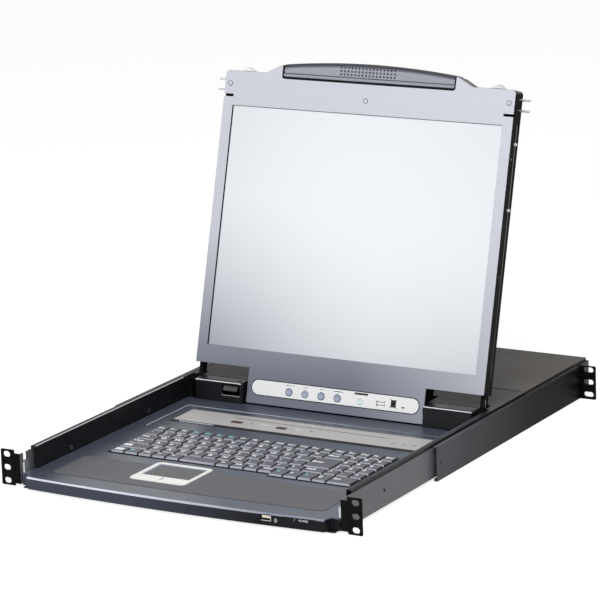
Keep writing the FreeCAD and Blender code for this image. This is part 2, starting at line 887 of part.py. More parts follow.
def board_posts():
    """Places of the board's standoffs in the case."""
    inset = D.board_post_inset
    xs = (BOARD_LEFT + inset, (BOARD_LEFT + BOARD_RIGHT) / 2, BOARD_RIGHT - inset)
    return [(x, y) for x in xs for y in (BOARD_FRONT + inset, BOARD_REAR - inset)]


def build_case():
    """Folded tray of the switch module, with screw tabs and board standoffs."""
    sheet_z = D.case_sheet
    y = (D.case_front, D.case_rear)
    floor = block((-RAIL_INNER, RAIL_INNER), y, (0, sheet_z))
    walls = [block((side * CASE_HALF, side * RAIL_INNER), y, (sheet_z, D.rail_high))
             for side in SIDES.values()]
    front = block((-CASE_HALF, CASE_HALF), (D.case_front, D.case_front + sheet_z), (sheet_z, CASE_TOP))
    tabs = []
    for x, ty in cover_screw_places():
        side = 1 if x.value > 0 else -1
        tab_z = (CASE_TOP - sheet_z, CASE_TOP)
        inner = side * (CASE_HALF - D.case_tab)
        skirt = side * (CASE_HALF - D.case_sheet)
        tabs.append(block((inner, skirt), (ty - D.case_tab_half, ty + D.case_tab_half), tab_z))
        tab_y = centred(ty, 2 * D.case_tab_half)
        tabs.append(block((inner, inner + side * sheet_z), tab_y, (sheet_z, CASE_TOP)))
    posts = [rod("Z", place, D.standoff_radius, (sheet_z, sheet_z + D.board_standoff))
             for place in board_posts()]
    holes = [rod("Z", place, D.screw_shank_radius, (CASE_TOP - D.cover_skirt, CASE_TOP + OVER))
             for place in cover_screw_places()]
    for side in SIDES.values():
        for y_screw in rail_screw_places():
            holes.append(rod("X", (y_screw, D.service_hole_z), D.screw_shank_radius,
                             (side * (CASE_HALF - OVER), side * (RAIL_INNER + OVER))))
    publish(cut(fuse(floor, front, *walls, *tabs, *posts), *holes), "kvm_case")


def build_cover():
    """Top cover of the switch module, with skirts inside the case walls."""
    top = block((-CASE_HALF - D.cover_overhang, CASE_HALF + D.cover_overhang),
                (D.case_front, D.case_rear), (CASE_TOP, D.cover_top))
    skirt_y = (D.case_front + 2 * D.case_sheet, D.case_rear - 2 * D.case_sheet)
    skirts = [block((side * (CASE_HALF - D.case_sheet), side * CASE_HALF), skirt_y,
                    (CASE_TOP - D.cover_skirt, CASE_TOP)) for side in SIDES.values()]
    holes = [rod("Z", place, D.screw_shank_radius, (CASE_TOP - OVER, D.cover_top + OVER))
             for place in cover_screw_places()]
    publish(cut(fuse(top, *skirts), *holes), "kvm_cover")


def port_places():
    return [PORT_FIRST + index * PORT_PITCH for index in range(int(D.port_count.value))]


def console_places():
    return [CONSOLE_FIRST + index * D.console_pitch for index in range(int(D.console_count.value))]


def centred(middle, size):
    return (middle - size / 2, middle + size / 2)


def build_rear_panel():
    """Back plate of the switch module, with an opening for each socket."""
    y = (D.case_rear - D.case_sheet, D.case_rear)
    through = (D.case_rear - 2 * D.case_sheet, D.case_rear + OVER)
    plate = block((-CASE_HALF, CASE_HALF), y, (D.case_sheet, CASE_TOP))
    openings = [block(centred(x, D.port_width), through, centred(D.port_z, D.port_height))
                for x in port_places()]
    openings += [block(centred(x, D.console_width), through, centred(D.console_z, D.console_height))
                 for x in console_places()]
    openings.append(block(centred(INLET_X, D.inlet_width), through,
                          centred(D.inlet_z, D.inlet_height)))
    openings.append(block(centred(ROCKER_X, D.rocker_width + 2 * D.rocker_frame), through,
                          centred(D.inlet_z, D.rocker_height + 2 * D.rocker_frame)))
    publish(cut(plate, *openings), "rear_panel")


def build_port_connectors():
    """One shielded socket for each computer."""
    sockets = []
    for x in port_places():
        shell_y = (D.case_rear - D.port_depth, D.case_rear + D.port_reach)
        shell = block(centred(x, D.port_width), shell_y, centred(D.port_z, D.port_height))
        flange = block(centred(x, (PORT_PITCH - D.port_flange_gap)),
                       (D.case_rear, D.case_rear + D.port_flange_sheet),
                       centred(D.port_z, D.port_flange_height))
        hollow = block(centred(x, D.port_width - 2 * D.port_wall),
                       (shell_y[1] - D.port_recess, shell_y[1] + 1),
                       centred(D.port_z, D.port_height - 2 * D.port_wall))
        sockets.append(cut(fuse(shell, flange), hollow))
    publish(group(*sockets), "port_connectors")


def build_console_ports():
    """Sockets for a local console beside the computer ports."""
    sockets = []
    for x in console_places():
        body = block(centred(x, D.console_width), (D.case_rear - D.port_depth,
                     D.case_rear + D.console_reach), centred(D.console_z, D.console_height))
        hollow = rod("Y", (x, D.console_z), D.console_height / 2 - 2 * D.port_wall,
                     (D.case_rear + D.console_reach - D.port_recess, D.case_rear + D.console_reach + OVER))
        sockets.append(cut(body, hollow))
    publish(group(*sockets), "console_ports")


def build_mains_inlet():
    """Power entry: a three-pin inlet and the frame of the mains switch in one housing."""
    front = D.case_rear - D.inlet_depth
    rim = D.case_rear + D.inlet_flange_sheet
    frame = D.rocker_frame
    body = block(centred(INLET_X, D.inlet_width), (front, rim), centred(D.inlet_z, D.inlet_height))
    plate = block((INLET_X - D.inlet_width / 2 - D.inlet_flange,
                   ROCKER_X + D.rocker_width / 2 + frame + D.inlet_flange / 2), (D.case_rear, rim),
                  centred(D.inlet_z, D.inlet_height + 2 * D.inlet_flange))
    hollow = block(centred(INLET_X, D.inlet_width - 2 * D.inlet_wall),
                   (front + D.inlet_wall, rim + OVER),
                   centred(D.inlet_z, D.inlet_height - 2 * D.inlet_wall))
    pitch = D.inlet_pin_pitch
    raised = D.inlet_pin_rise
    pins = [rod("Y", (INLET_X + offset, D.inlet_z + rise), D.inlet_pin_radius,
                (front, D.case_rear - D.inlet_pin_sunk))
            for offset, rise in ((-pitch, -raised), (0, raised), (pitch, -raised))]
    housing = block(centred(ROCKER_X, D.rocker_width + 2 * frame), (D.case_rear - D.rocker_depth, rim),
                    centred(D.inlet_z, D.rocker_height + 2 * frame))
    room = block(centred(ROCKER_X, D.rocker_width), (D.case_rear - D.rocker_depth + frame, rim + OVER),
                 centred(D.inlet_z, D.rocker_height))
    bore = rod("X", rocker_pivot(), D.rocker_pin_radius + D.running_gap,
               centred(ROCKER_X, D.rocker_width + frame))
    publish(fuse(cut(fuse(body, plate, housing), hollow, room, bore), *pins), "mains_inlet")


def rocker_pivot():
    return (D.case_rear - D.rocker_pivot_depth, D.inlet_z)


def build_power_rocker():
    """Rocker of the mains switch, on a pin in the power entry's housing."""
    pivot_y, pivot_z = rocker_pivot()
    rim = D.case_rear + D.inlet_flange_sheet
    half = D.rocker_height / 2 - D.rocker_end_gap
    profile = [
        (pivot_y - D.rocker_root, pivot_z - D.rocker_root_half),
        (rim - D.rocker_low_sunk, pivot_z - half),
        (rim + D.rocker_high, pivot_z - half + D.rocker_slope),
        (rim - D.rocker_flat_sunk, pivot_z),
        (rim - D.rocker_flat_sunk, pivot_z + half),
        (pivot_y - D.rocker_root, pivot_z + D.rocker_root_half),
    ]
    paddle = prism("YZ", profile, centred(ROCKER_X, D.rocker_width - 2 * D.running_gap))
    pin = rod("X", (pivot_y, pivot_z), D.rocker_pin_radius,
              centred(ROCKER_X, D.rocker_width + D.rocker_frame - 4 * D.running_gap))
    publish(fuse(paddle, pin), "power_rocker")


def chip(x, y, low):
    """A square chip that stands on a board."""
    return block(centred(x, D.chip_size), centred(y, D.chip_size), (low, low + D.chip_height))


def build_boards_and_supply():
    """The switching board on its standoffs, with its larger chips, and the power supply."""
    low = D.case_sheet + D.board_standoff
    top = low + D.board_thickness
    board = block((BOARD_LEFT, BOARD_RIGHT), (BOARD_FRONT, BOARD_REAR), (low, top))
    pitch = (BOARD_RIGHT - BOARD_LEFT) / D.chip_count
    chips = [chip(BOARD_LEFT + (number + 0.5) * pitch, BOARD_FRONT + D.chip_setback, top)
             for number in range(int(D.chip_count.value))]
    publish(fuse(board, *chips), "kvm_board")
    box = block((SUPPLY_LEFT, SUPPLY_RIGHT), (BOARD_FRONT, SUPPLY_REAR),
                (D.case_sheet, D.case_sheet + D.supply_height))
    publish(box, "power_supply")


def build_chassis_screws():
    screws = [screw("Z", place, D.cover_top, 1) for place in cover_screw_places()]
    for side in SIDES.values():
        for y in rail_screw_places():
            head = (side * RAIL_OUTER, side * (RAIL_OUTER + D.screw_head_height))
            shank = (side * (CASE_HALF - D.rail_screw_past), side * RAIL_OUTER)
            place = (y, D.service_hole_z)
            screws.append(fuse(rod("X", place, D.screw_head_radius, head),
                               rod("X", place, D.screw_shank_radius, shank)))
    publish(group(*screws), "chassis_screws")


# ---------------------------------------------------------------- drawer

def build_drawer_wall(side, label):
    """Side sheet of the drawer with a flange over the rail and lips for the slide member."""
    y = (D.drawer_front, D.drawer_rear)
    flange_low = D.drawer_top - D.drawer_wall
    flange_tip = WALL_INNER + D.drawer_flange
    web = block((side * WALL_INNER, side * WALL_OUTER), y, (D.pan_low, D.drawer_top))
    flange = block((side * WALL_OUTER, side * flange_tip), y, (flange_low, D.drawer_top))
    lip = block((side * (flange_tip - D.drawer_wall), side * flange_tip), y,
                (flange_low - D.drawer_flange_lip, flange_low))
    guide_x = (side * WALL_OUTER, side * (WALL_OUTER + D.guide_lip_width))
    above = D.slide_high + D.running_gap
    below = D.slide_low - D.running_gap
    guides = [
        block(guide_x, y, (above, above + D.guide_lip)),
        block(guide_x, y, (below - D.guide_lip, below)),
    ]
    holes = [rod("X", (hole_y, D.service_hole_z), D.drawer_hole_radius,
                 (side * (WALL_INNER - OVER), side * (WALL_OUTER + OVER)))
             for hole_y in (D.service_hole_y, D.drawer_hole_rear)]
    publish(cut(fuse(web, flange, lip, *guides), *holes), label)


def build_pan():
    """Bottom sheet of the drawer with a raised rear edge."""
    floor = block((-WALL_INNER, WALL_INNER), (D.pan_front, D.drawer_rear), (D.pan_low, PAN_TOP))
    rear = block((-WALL_INNER, WALL_INNER), (D.drawer_rear - D.pan_sheet, D.drawer_rear),
                 (PAN_TOP, D.deck_top - D.deck_sheet))
    publish(fuse(floor, rear), "drawer_pan")


def build_deck():
    """Cover sheet behind the hinges, open where the display's tail and arms turn."""
    z = (D.deck_top - D.deck_sheet, D.deck_top)
    through = (D.deck_top - 2 * D.deck_sheet, D.deck_top + OVER)
    sheet_block = block((-WALL_INNER, WALL_INNER), (COVER_REAR, D.drawer_rear), z)
    tail_reach = D.hinge_y + D.lid_tail + D.deck_notch_gap
    margin = D.deck_slot_margin
    cuts = [block((-TAIL_HALF - D.deck_notch_side, TAIL_HALF + D.deck_notch_side),
                  (COVER_REAR - OVER, tail_reach), through)]
    for side in SIDES.values():
        cuts.append(block((side * (HINGE_COVER_OUTER + D.deck_slot_side), side * (BRACKET_INNER + margin)),
                          (COVER_REAR - OVER, D.hinge_y + D.deck_slot_rear), through))
    publish(cut(sheet_block, *cuts), "rear_deck")


def tray_outline():
    """Plan of the tray: a bowed front, end ledges before the walls and straight sides."""
    half = [
        (FASCIA_HALF, D.fascia_front), (WALL_INNER - D.fascia_end_inset, D.fascia_end_y),
        (RAIL_INNER - D.ledge_gap, D.ledge_front), (RAIL_INNER - D.ledge_gap, D.drawer_front),
        (WALL_INNER, D.drawer_front), (WALL_INNER, TRAY_REAR),
    ]
    return [(-half[0][0], half[0][1])] + half + [(-x, y) for x, y in reversed(half[1:])]


def well_outline(grow):
    """Plan of the key well, which steps forward at the arrow keys."""
    left = -KEY_FIELD_HALF - D.well_margin_x - grow
    right = KEY_FIELD_HALF + D.well_margin_x + grow
    front = D.key_field_front - D.well_margin_y - grow
    rear = D.key_field_front + 6 * D.key_row_pitch + D.well_margin_y + grow
    step_x = arrow_start() - D.well_margin_y / 2 - grow
    return [
        (left, front), (step_x, front), (step_x, front - D.key_step),
        (right, front - D.key_step), (right, rear), (left, rear),
    ]


def arrow_start():
    return -KEY_FIELD_HALF + sum(KEY_ROWS["space"]) * D.key_pitch


def palm_outline():
    return [
        (-PALM_HALF, D.palm_front), (PALM_HALF, D.palm_front),
        (PALM_HALF, D.palm_rear), (-PALM_HALF, D.palm_rear),
    ]


def palm_prism(z):
    return prism("XY", palm_outline(), z, {"palm_corner": [0, 1]}, {0: D.palm_bow})


def pad_frame_prism(z):
    outline = [
        (D.pad_frame_left, D.pad_frame_front), (D.pad_frame_right, D.pad_frame_front),
        (D.pad_frame_right, D.pad_frame_rear), (D.pad_frame_left, D.pad_frame_rear),
    ]
    return prism("XY", outline, z, {"pad_frame_corner": [0, 1, 2, 3]})


def build_tray():
    """Moulded tray: fascia, palm area, key well and the ledge before the hinge covers."""
    top = D.tray_top
    rounds = {"fascia_corner": [0, 1], "tray_edge_round": [2, 11]}
    shell = prism("XY", tray_outline(), (PAN_TOP, top), rounds,
                  {0: D.fascia_bow})
    shell = round_edges(shell, D.tray_edge_round, lambda p: p.y < 0.4 and is_tray_rim(p))
    shell = round_edges(shell, D.tray_side_round, lambda p: is_tray_side(p))
    inner = WALL_INNER - D.tray_wall
    front = D.fascia_front + D.tray_wall
    cavity = prism("XY", [
        (-FASCIA_HALF + D.tray_wall, front), (FASCIA_HALF - D.tray_wall, front),
        (inner, D.drawer_front + D.tray_wall), (inner, TRAY_REAR - D.tray_wall),
        (-inner, TRAY_REAR - D.tray_wall), (-inner, D.drawer_front + D.tray_wall),
    ], (PAN_TOP - OVER, TRAY_CEILING), None, {0: D.fascia_bow})
    plate_low = top + D.palm_proud - D.palm_sheet
    palm_bed = palm_prism((plate_low, top + 2))
    pad_hole = pad_frame_prism((TRAY_CEILING - OVER, top + 3))
    well = prism("XY", well_outline(dim(0)), (TRAY_CEILING - OVER, top + 2))
    status_bed = block((-STATUS_HALF, STATUS_HALF), (D.status_front, D.status_rear),
                       (top + D.status_proud - D.status_sheet, top + 2))
    socket = block((USB_LEFT, USB_RIGHT), (D.usb_front - 6, D.usb_front + D.usb_depth),
                   (D.usb_low, D.usb_high))
    lamp = rod("Y", (LAMP_X, D.lamp_z), D.lamp_radius, (D.lamp_front - 5, D.lamp_front + D.lamp_length))
    publish(cut(shell, cavity, palm_bed, pad_hole, well, status_bed, socket, lamp), "keyboard_tray")


def is_tray_rim(point):
    """True on the top and bottom edges of the fascia and its end ledges."""
    at_level = min(abs(point.z - D.tray_top.value), abs(point.z - PAN_TOP.value)) < 1e-3
    return at_level


def is_tray_side(point):
    """True on the long top edges beside the drawer walls."""
    at_side = abs(abs(point.x) - WALL_INNER.value) < 1e-3
    return at_side and abs(point.z - D.tray_top.value) < 1e-3


def build_palm_plate():
    top = D.tray_top + D.palm_proud
    plate = palm_prism((top - D.palm_sheet, top))
    publish(cut(plate, pad_frame_prism((top - D.palm_sheet - OVER, top + OVER))), "palm_plate")


def build_touchpad():
    """Touchpad frame, the pad in it and its two buttons."""
    top = D.tray_top + D.pad_frame_proud
    low = top - D.pad_frame_height
    pad_x = (D.pad_frame_left + D.pad_rim, D.pad_frame_right - D.pad_rim)
    pad_y = (D.pad_button_rear + D.pad_bar, D.pad_frame_rear - D.pad_rim)
    pad_low = top - D.pad_sunk - D.pad_thickness
    button_y = (D.pad_button_front, D.pad_button_rear)
    button_top = top - D.pad_button_sunk
    button_low = button_top - D.pad_button_height
    gap = D.running_gap
    room = block(pad_x, button_y, (button_low - D.pad_button_clear, top + OVER))
    bed = block(pad_x, pad_y, (pad_low, top + OVER))
    publish(cut(pad_frame_prism((low, top)), bed, room), "touchpad_frame")
    publish(block(pad_x, pad_y, (pad_low, pad_low + D.pad_thickness)), "touchpad_surface")
    middle = (pad_x[0] + pad_x[1]) / 2
    half_split = D.pad_split / 2
    y = (button_y[0] + gap, button_y[1] - gap)
    z = (button_low, button_top)
    publish(block((pad_x[0] + gap, middle - half_split), y, z), "touchpad_button_left")
    publish(block((middle + half_split, pad_x[1] - gap), y, z), "touchpad_button_right")


def row_front(index):
    return D.key_field_front + index * D.key_row_pitch


def key_with_stem(x0, x1, front, depth, stem_y):
    """A key cap and the stem that slides in the row's slot."""
    cap_low = D.key_top - D.key_height
    half_gap = D.key_gap / 2
    y = (front + half_gap, front + depth - half_gap)
    cap = tapered_key((x0 + half_gap, x1 - half_gap), y, cap_low, D.key_height, D.key_taper)
    middle = (x0 + x1) / 2
    stem = block(centred(middle, 2 * D.key_stem_side), centred(stem_y, 2 * D.key_stem_half),
                 (cap_low - D.key_stem_length, cap_low))
    return fuse(cap, stem)


def build_key_row(index, name):
    """One row of keys, each a cap and a stem of its own."""
    widths = KEY_ROWS[name]
    keys = []
    front = row_front(index)
    stem_y = front + D.key_row_pitch / 2
    edge = -KEY_FIELD_HALF
    for number, width in enumerate(widths):
        next_edge = edge + width * D.key_pitch
        tall = name == "home" and number == ENTER_KEY
        depth = 2 * D.key_row_pitch if tall else D.key_row_pitch
        keys.append(key_with_stem(edge, next_edge, front, depth, stem_y))
        edge = next_edge
    if name == "space":
        for width in ARROW_KEYS:
            next_edge = edge + width * D.key_pitch
            keys.append(key_with_stem(edge, next_edge, front - D.key_step,
                                      D.key_row_pitch + D.key_step, stem_y))
            edge = next_edge
    if name == "upper":
        edge = -KEY_FIELD_HALF + (sum(KEY_ROWS["home"]) - sum(PAD_KEYS)) * D.key_pitch
        for width in PAD_KEYS:
            next_edge = edge + width * D.key_pitch
            keys.append(key_with_stem(edge, next_edge, front, D.key_row_pitch, stem_y))
            edge = next_edge
    publish(group(*keys), "key_row_" + name)


def build_keyboard_base():
    """Key switch plate under the well, with one slot for the stems of each row."""
    cap_low = D.key_top - D.key_height
    top = cap_low - D.key_travel_room
    stem_low = cap_low - D.key_stem_length
    floor_top = stem_low - D.key_slot_room
    low = floor_top - D.keyboard_floor
    rim = prism("XY", well_outline(D.keyboard_rim), (low, TRAY_CEILING))
    hollow = prism("XY", well_outline(dim(0)), (top, TRAY_CEILING + OVER))
    slots = []
    gap = D.running_gap
    for index in range(6):
        stem_y = row_front(index) + D.key_row_pitch / 2
        slots.append(block((-KEY_FIELD_HALF, KEY_FIELD_HALF),
                           (stem_y - D.key_stem_half - gap, stem_y + D.key_stem_half + gap),
                           (floor_top, top + OVER)))
    feet = []
    for side in SIDES.values():
        for y in (D.key_field_front + D.keyboard_foot, row_front(5)):
            x = side * (KEY_FIELD_HALF - D.keyboard_foot)
            feet.append(block(centred(x, D.keyboard_foot), centred(y, D.keyboard_foot), (PAN_TOP, low)))
    publish(fuse(cut(rim, hollow, *slots), *feet), "keyboard_base")


def build_status_panel():
    top = D.tray_top + D.status_proud
    publish(block((-STATUS_HALF, STATUS_HALF), (D.status_front, D.status_rear),
                  (top - D.status_sheet, top)), "status_panel")


def build_front_socket():
    """Data socket in the fascia and the lamp beside it."""
    y = (D.usb_front, D.usb_front + D.usb_depth)
    wall = D.usb_wall
    body = block((USB_LEFT, USB_RIGHT), y, (D.usb_low, D.usb_high))
    hollow = block((USB_LEFT + wall, USB_RIGHT - wall), (D.usb_front - OVER, y[1] - 2 * wall),
                   (D.usb_low + wall, D.usb_high - wall))
    tongue = block((USB_LEFT + 2 * wall, USB_RIGHT - 2 * wall), (D.usb_front + D.usb_tongue_sunk, y[1]),
                   (D.usb_high - wall - D.usb_tongue, D.usb_high - wall))
    publish(fuse(cut(body, hollow), tongue), "usb_socket")
    publish(rod("Y", (LAMP_X, D.lamp_z), D.lamp_radius,
                (D.lamp_front, D.lamp_front + D.lamp_length)), "power_led")


def build_controller_board():
    """Board under the status panel, on four standoffs from the pan."""
    low = PAN_TOP + D.control_board_standoff
    half = D.control_board_half
    y = (D.control_board_front, D.control_board_rear)
    board = block((-half, half), y, (low, low + D.board_thickness))
    inset = D.control_post_inset
    posts = [rod("Z", (side * (half - inset), py), D.standoff_radius, (PAN_TOP, low))
             for side in SIDES.values() for py in (y[0] + inset, y[1] - inset)]
    chips = [chip(x, y[0] + D.control_chip_inset, low + D.board_thickness)
             for x in (D.control_chip_inset - half, dim(0))]
    publish(fuse(board, *posts, *chips), "controller_board")


def build_hinge_cover(side, label):
    """Moulded cover beside the display's tail, open below and behind."""
    x = (side * D.hinge_cover_inner, side * HINGE_COVER_OUTER)
    wall = D.hinge_cover_wall
    outer = prism("YZ", [
        (COVER_FRONT, D.tray_top), (COVER_REAR, D.tray_top),
        (COVER_REAR, D.hinge_cover_top), (COVER_FRONT, D.hinge_cover_top),
    ], x, {"hinge_cover_round": [3]})
    hollow = block((x[0] + side * wall, x[1] - side * wall), (COVER_FRONT + wall, COVER_REAR + OVER),
                   (D.tray_top - OVER, D.hinge_cover_top - wall))
    screw_place = hinge_cover_screw(side)
    hole = rod("Z", screw_place, D.screw_shank_radius,
               (D.hinge_cover_top - D.screw_shank_length, D.hinge_cover_top + OVER))
    boss_low = D.hinge_cover_top - wall - D.screw_shank_length
    boss = rod("Z", screw_place, D.screw_head_radius, (boss_low, D.hinge_cover_top - wall))
    if side > 0:
        publish(cut(fuse(cut(outer, hollow), boss), hole), label)
        return
    pivot = lever_pivot()
    lug_y = (COVER_FRONT + wall, pivot[0] + D.lever_lug_back)
    lug_z = (pivot[1] - D.lever_lug_drop, D.hinge_cover_top - wall)
    left, right = D.lever_left, D.lever_right
    lug_left = left - D.lever_lug + D.lever_lug_gap
    lugs = [
        block((lug_left, left + D.lever_lug_gap), lug_y, lug_z),
        block((right - wall, -D.hinge_cover_inner - wall), lug_y, lug_z),
    ]
    window = block((left, right), (COVER_FRONT - OVER, COVER_FRONT + wall), (D.lever_low, D.lever_high))
    bore = rod("X", pivot, D.lever_pin_radius + D.running_gap,
               (lug_left, -D.hinge_cover_inner - wall))
    publish(cut(fuse(cut(outer, hollow), boss, *lugs), hole, window, bore), label)


def hinge_cover_screw(side):
    x = side * (D.hinge_cover_inner + D.cover_screw_inset)
    return (x, D.hinge_y - D.cover_screw_setback)


def lever_pivot():
    return (D.hinge_y - D.lever_pivot_y, D.hinge_z + D.lever_pivot_z)


def build_release_lever():
    """Thumb lever in the left hinge cover: a sloping tab on a pin."""
    y, z = lever_pivot()
    profile = [
        (y + D.lever_root, z + D.lever_root), (y - D.lever_root, z + D.lever_root),
        (y - D.lever_reach, z - D.lever_shoulder), (y - D.lever_reach, z - D.lever_drop),
        (y - D.lever_toe, z - D.lever_drop), (y + D.lever_root, z - D.lever_root),
    ]
    tab = prism("YZ", profile, (D.lever_left + D.lever_margin, D.lever_right - D.lever_margin))
    pin = rod("X", (y, z), D.lever_pin_radius,
              (D.lever_left - D.lever_lug + 2 * D.lever_lug_gap,
               -D.hinge_cover_inner - D.hinge_cover_wall - D.lever_pin_gap))
    publish(fuse(tab, pin), "release_lever")


def build_hinge_brackets():
    """Fixed half of each hinge: an angle on the drawer wall and the pin of the hinge."""
    brackets = []
    for side in SIDES.values():
        plate = block((side * BRACKET_INNER, side * WALL_INNER),
                      (D.hinge_y - D.hinge_bracket_front, D.hinge_y + D.hinge_bracket_rear),
                      (PAN_TOP, D.hinge_z + D.hinge_bracket_top))
        pin = rod("X", (D.hinge_y, D.hinge_z), D.hinge_pin_radius,
                  (side * HINGE_COVER_OUTER, side * BRACKET_INNER))
        brackets.append(fuse(plate, pin))
    publish(group(*brackets), "hinge_brackets")


def build_drawer_screws():
    screws = [screw("Z", hinge_cover_screw(side), D.hinge_cover_top, 1, D.screw_head_height)
              for side in SIDES.values()]
    publish(group(*screws), "drawer_screws")


# ---------------------------------------------------------------- display

def lid_outline(inset, with_arms=False):
    """Outline of the display's shells, in the closed plan, moved in by an inset."""
    side = LID_HALF - inset
    top = -D.lid_top + inset
    rise = -D.lid_top - D.lid_rise + inset
    right = [
        (TAIL_HALF - inset, D.lid_tail - inset),
        (TAIL_HALF - inset, -D.lid_wing - inset),
        (side, -D.lid_wing - inset),
        (side, top),
        (D.lid_rise_outer - inset / 2, top),
        (D.lid_rise_inner - inset / 2, rise),
        (D.grip_half + inset / 2, rise),
        (D.grip_half + inset / 2, -D.grip_low + inset),
    ]
    return right + [(-x, y) for x, y in reversed(right)]


def lid_rounds():
    """Rounded corners of the outer outline: display corners, and the rise beside the grip."""
    return {"lid_corner": [3, 12], "lid_rise_round": [4, 11]}


def button_places():
    """Four menu buttons and the display's power button, left to right."""
    places = [(D.menu_first_x + index * D.menu_pitch, D.menu_y) for index in range(4)]
    return places + [(D.display_power_x, D.menu_y)]


def strip_prism(z):
    """Round-ended control strip as a straight bar with two half-round ends."""
    radius = (D.strip_high - D.strip_low) / 2
    middle = -(D.strip_low + D.strip_high) / 2
    straight = D.strip_half - radius
    ends = [rod("Z", (side * straight, middle), radius, z) for side in SIDES.values()]
    return fuse(block((-straight, straight), (middle - radius, middle + radius), z), *ends)


def jack_block(z):
    return block((D.jack_x - D.jack_half_width, D.jack_x + D.jack_half_width),
                 (-D.jack_y - D.jack_half_height, -D.jack_y + D.jack_half_height), z)


def face_screw_places():
    places = [(side * (LID_HALF - D.face_screw_edge), -D.face_screw_y) for side in SIDES.values()]
    return places + [(dim(0), -D.face_screw_middle)]


def side_screw_places():
    return [(-y, dim(0)) for y in (D.side_screw_near, D.side_screw_far)]


def back_screw_places():
    x = LID_HALF - D.back_screw_inset
    return [(side * x, -y) for side in SIDES.values() for y in (D.back_screw_low, D.back_screw_high)]


def arm_passages(z):
    gap_y = (-D.lid_wing - D.lid_wall - OVER, -D.lid_wing + OVER)
    return [block((side * ARM_INNER, side * LID_INNER), gap_y, z)
            for side in SIDES.values()]


def build_bezel():
    """Front shell: window, strip bed, button holes, catch openings and screw holes."""
    shell = prism("XY", lid_outline(dim(0)), (FACE_Z, SEAM_Z), lid_rounds())
    hollow = prism("XY", lid_outline(D.lid_wall), (FACE_INNER, SEAM_Z + OVER))
    through = (FACE_Z - OVER, FACE_INNER + OVER)
    cuts = [
        hollow,
        block((-WINDOW_HALF, WINDOW_HALF), (-D.window_high, -D.window_low), through),
        strip_prism((FACE_Z - OVER, FACE_Z + D.strip_sunk)),
        jack_block(through),
    ]
    button_hole = D.button_radius + D.running_gap
    cuts += [rod("Z", (x, -y), button_hole, through) for x, y in button_places()]
    cuts += [rod("Z", place, D.screw_shank_radius, through) for place in face_screw_places()]
    cuts += arm_passages((-D.arm_half_height, SEAM_Z + OVER))
    prong = D.catch_prong_radius + D.running_gap
    for side in SIDES.values():
        wall_x = (side * (LID_INNER - OVER), side * (LID_HALF + OVER))
        cuts.append(block((side * (LID_HALF - D.notch_length), side * (LID_HALF + OVER)),
                          centred(-D.notch_centre, D.notch_width), (FACE_Z - OVER, FACE_Z + D.notch_depth)))
        for y in (D.catch_prong_near, D.catch_prong_far):
            cuts.append(rod("X", (-y, -D.catch_prong_drop), prong, wall_x))
        for place in side_screw_places():
            cuts.append(rod("X", place, D.screw_shank_radius, wall_x))
        cuts.append(catch_slot(side, (-D.catch_bar_front, SEAM_Z + OVER)))
    bosses = [block((side * (D.key_board_half - D.key_board_boss), side * D.key_board_half),
                    (-D.key_board_high, -D.key_board_low), (FACE_INNER, FACE_INNER + D.key_board_drop))
              for side in SIDES.values()]
    publish(fuse(cut(shell, *cuts), *bosses), "lcd_bezel", True)


def catch_slot(side, z):
    """Slot in the top wall that the catch's neck slides in."""
    gap = D.running_gap
    return block((side * (CATCH_NECK_INNER - D.catch_travel - gap), side * (CATCH_NECK_OUTER + gap)),
                 (-D.lid_top - OVER, -D.lid_top + D.lid_wall + OVER), z)


def build_rear_cover():
    """Back shell of the display, vented over its board."""
    shell = prism("XY", lid_outline(dim(0)), (SEAM_Z, BACK_Z), lid_rounds())
    shell = round_edges(shell, D.lid_back_round, is_back_rim)
    cuts = [prism("XY", lid_outline(D.lid_wall), (SEAM_Z - OVER, BACK_INNER))]
    cuts += arm_passages((SEAM_Z - OVER, D.arm_half_height))
    cuts += [rod("Z", place, D.screw_shank_radius, (BACK_INNER - OVER, BACK_Z + OVER))
             for place in back_screw_places()]
    vent_y = [-D.main_board_high - D.vent_start - index * D.vent_pitch
              for index in range(int(D.vent_count.value))]
    cuts += [block((-D.main_board_half, D.main_board_half), (y - D.vent_width, y),
                   (BACK_INNER - OVER, BACK_Z + OVER)) for y in vent_y]
    publish(cut(shell, *cuts), "lcd_rear_cover", True)


def is_back_rim(point):
    """True on the outer edge of the back, away from the tail, where it meets the sides."""
    at_back = abs(point.z - BACK_Z.value) < 1e-3
    return at_back and abs(point.x) > D.lid_rise_outer.value + 20 and point.y < -D.lid_wing.value - 1


def build_panel_and_screen():
    """Display panel behind the window, and the clear screen in the window."""
    panel = block((D.panel_border - LID_HALF, LID_HALF - D.panel_border), (-D.panel_high, -D.panel_low),
                  (FACE_INNER, FACE_INNER + D.panel_thickness))
    publish(panel, "lcd_panel", True)
    gap = D.screen_gap
    screen = block((-WINDOW_HALF + gap, WINDOW_HALF - gap),
                   (-D.window_high + gap, -D.window_low - gap), (FACE_INNER - D.screen_sheet, FACE_INNER))
    publish(screen, "screen", True)


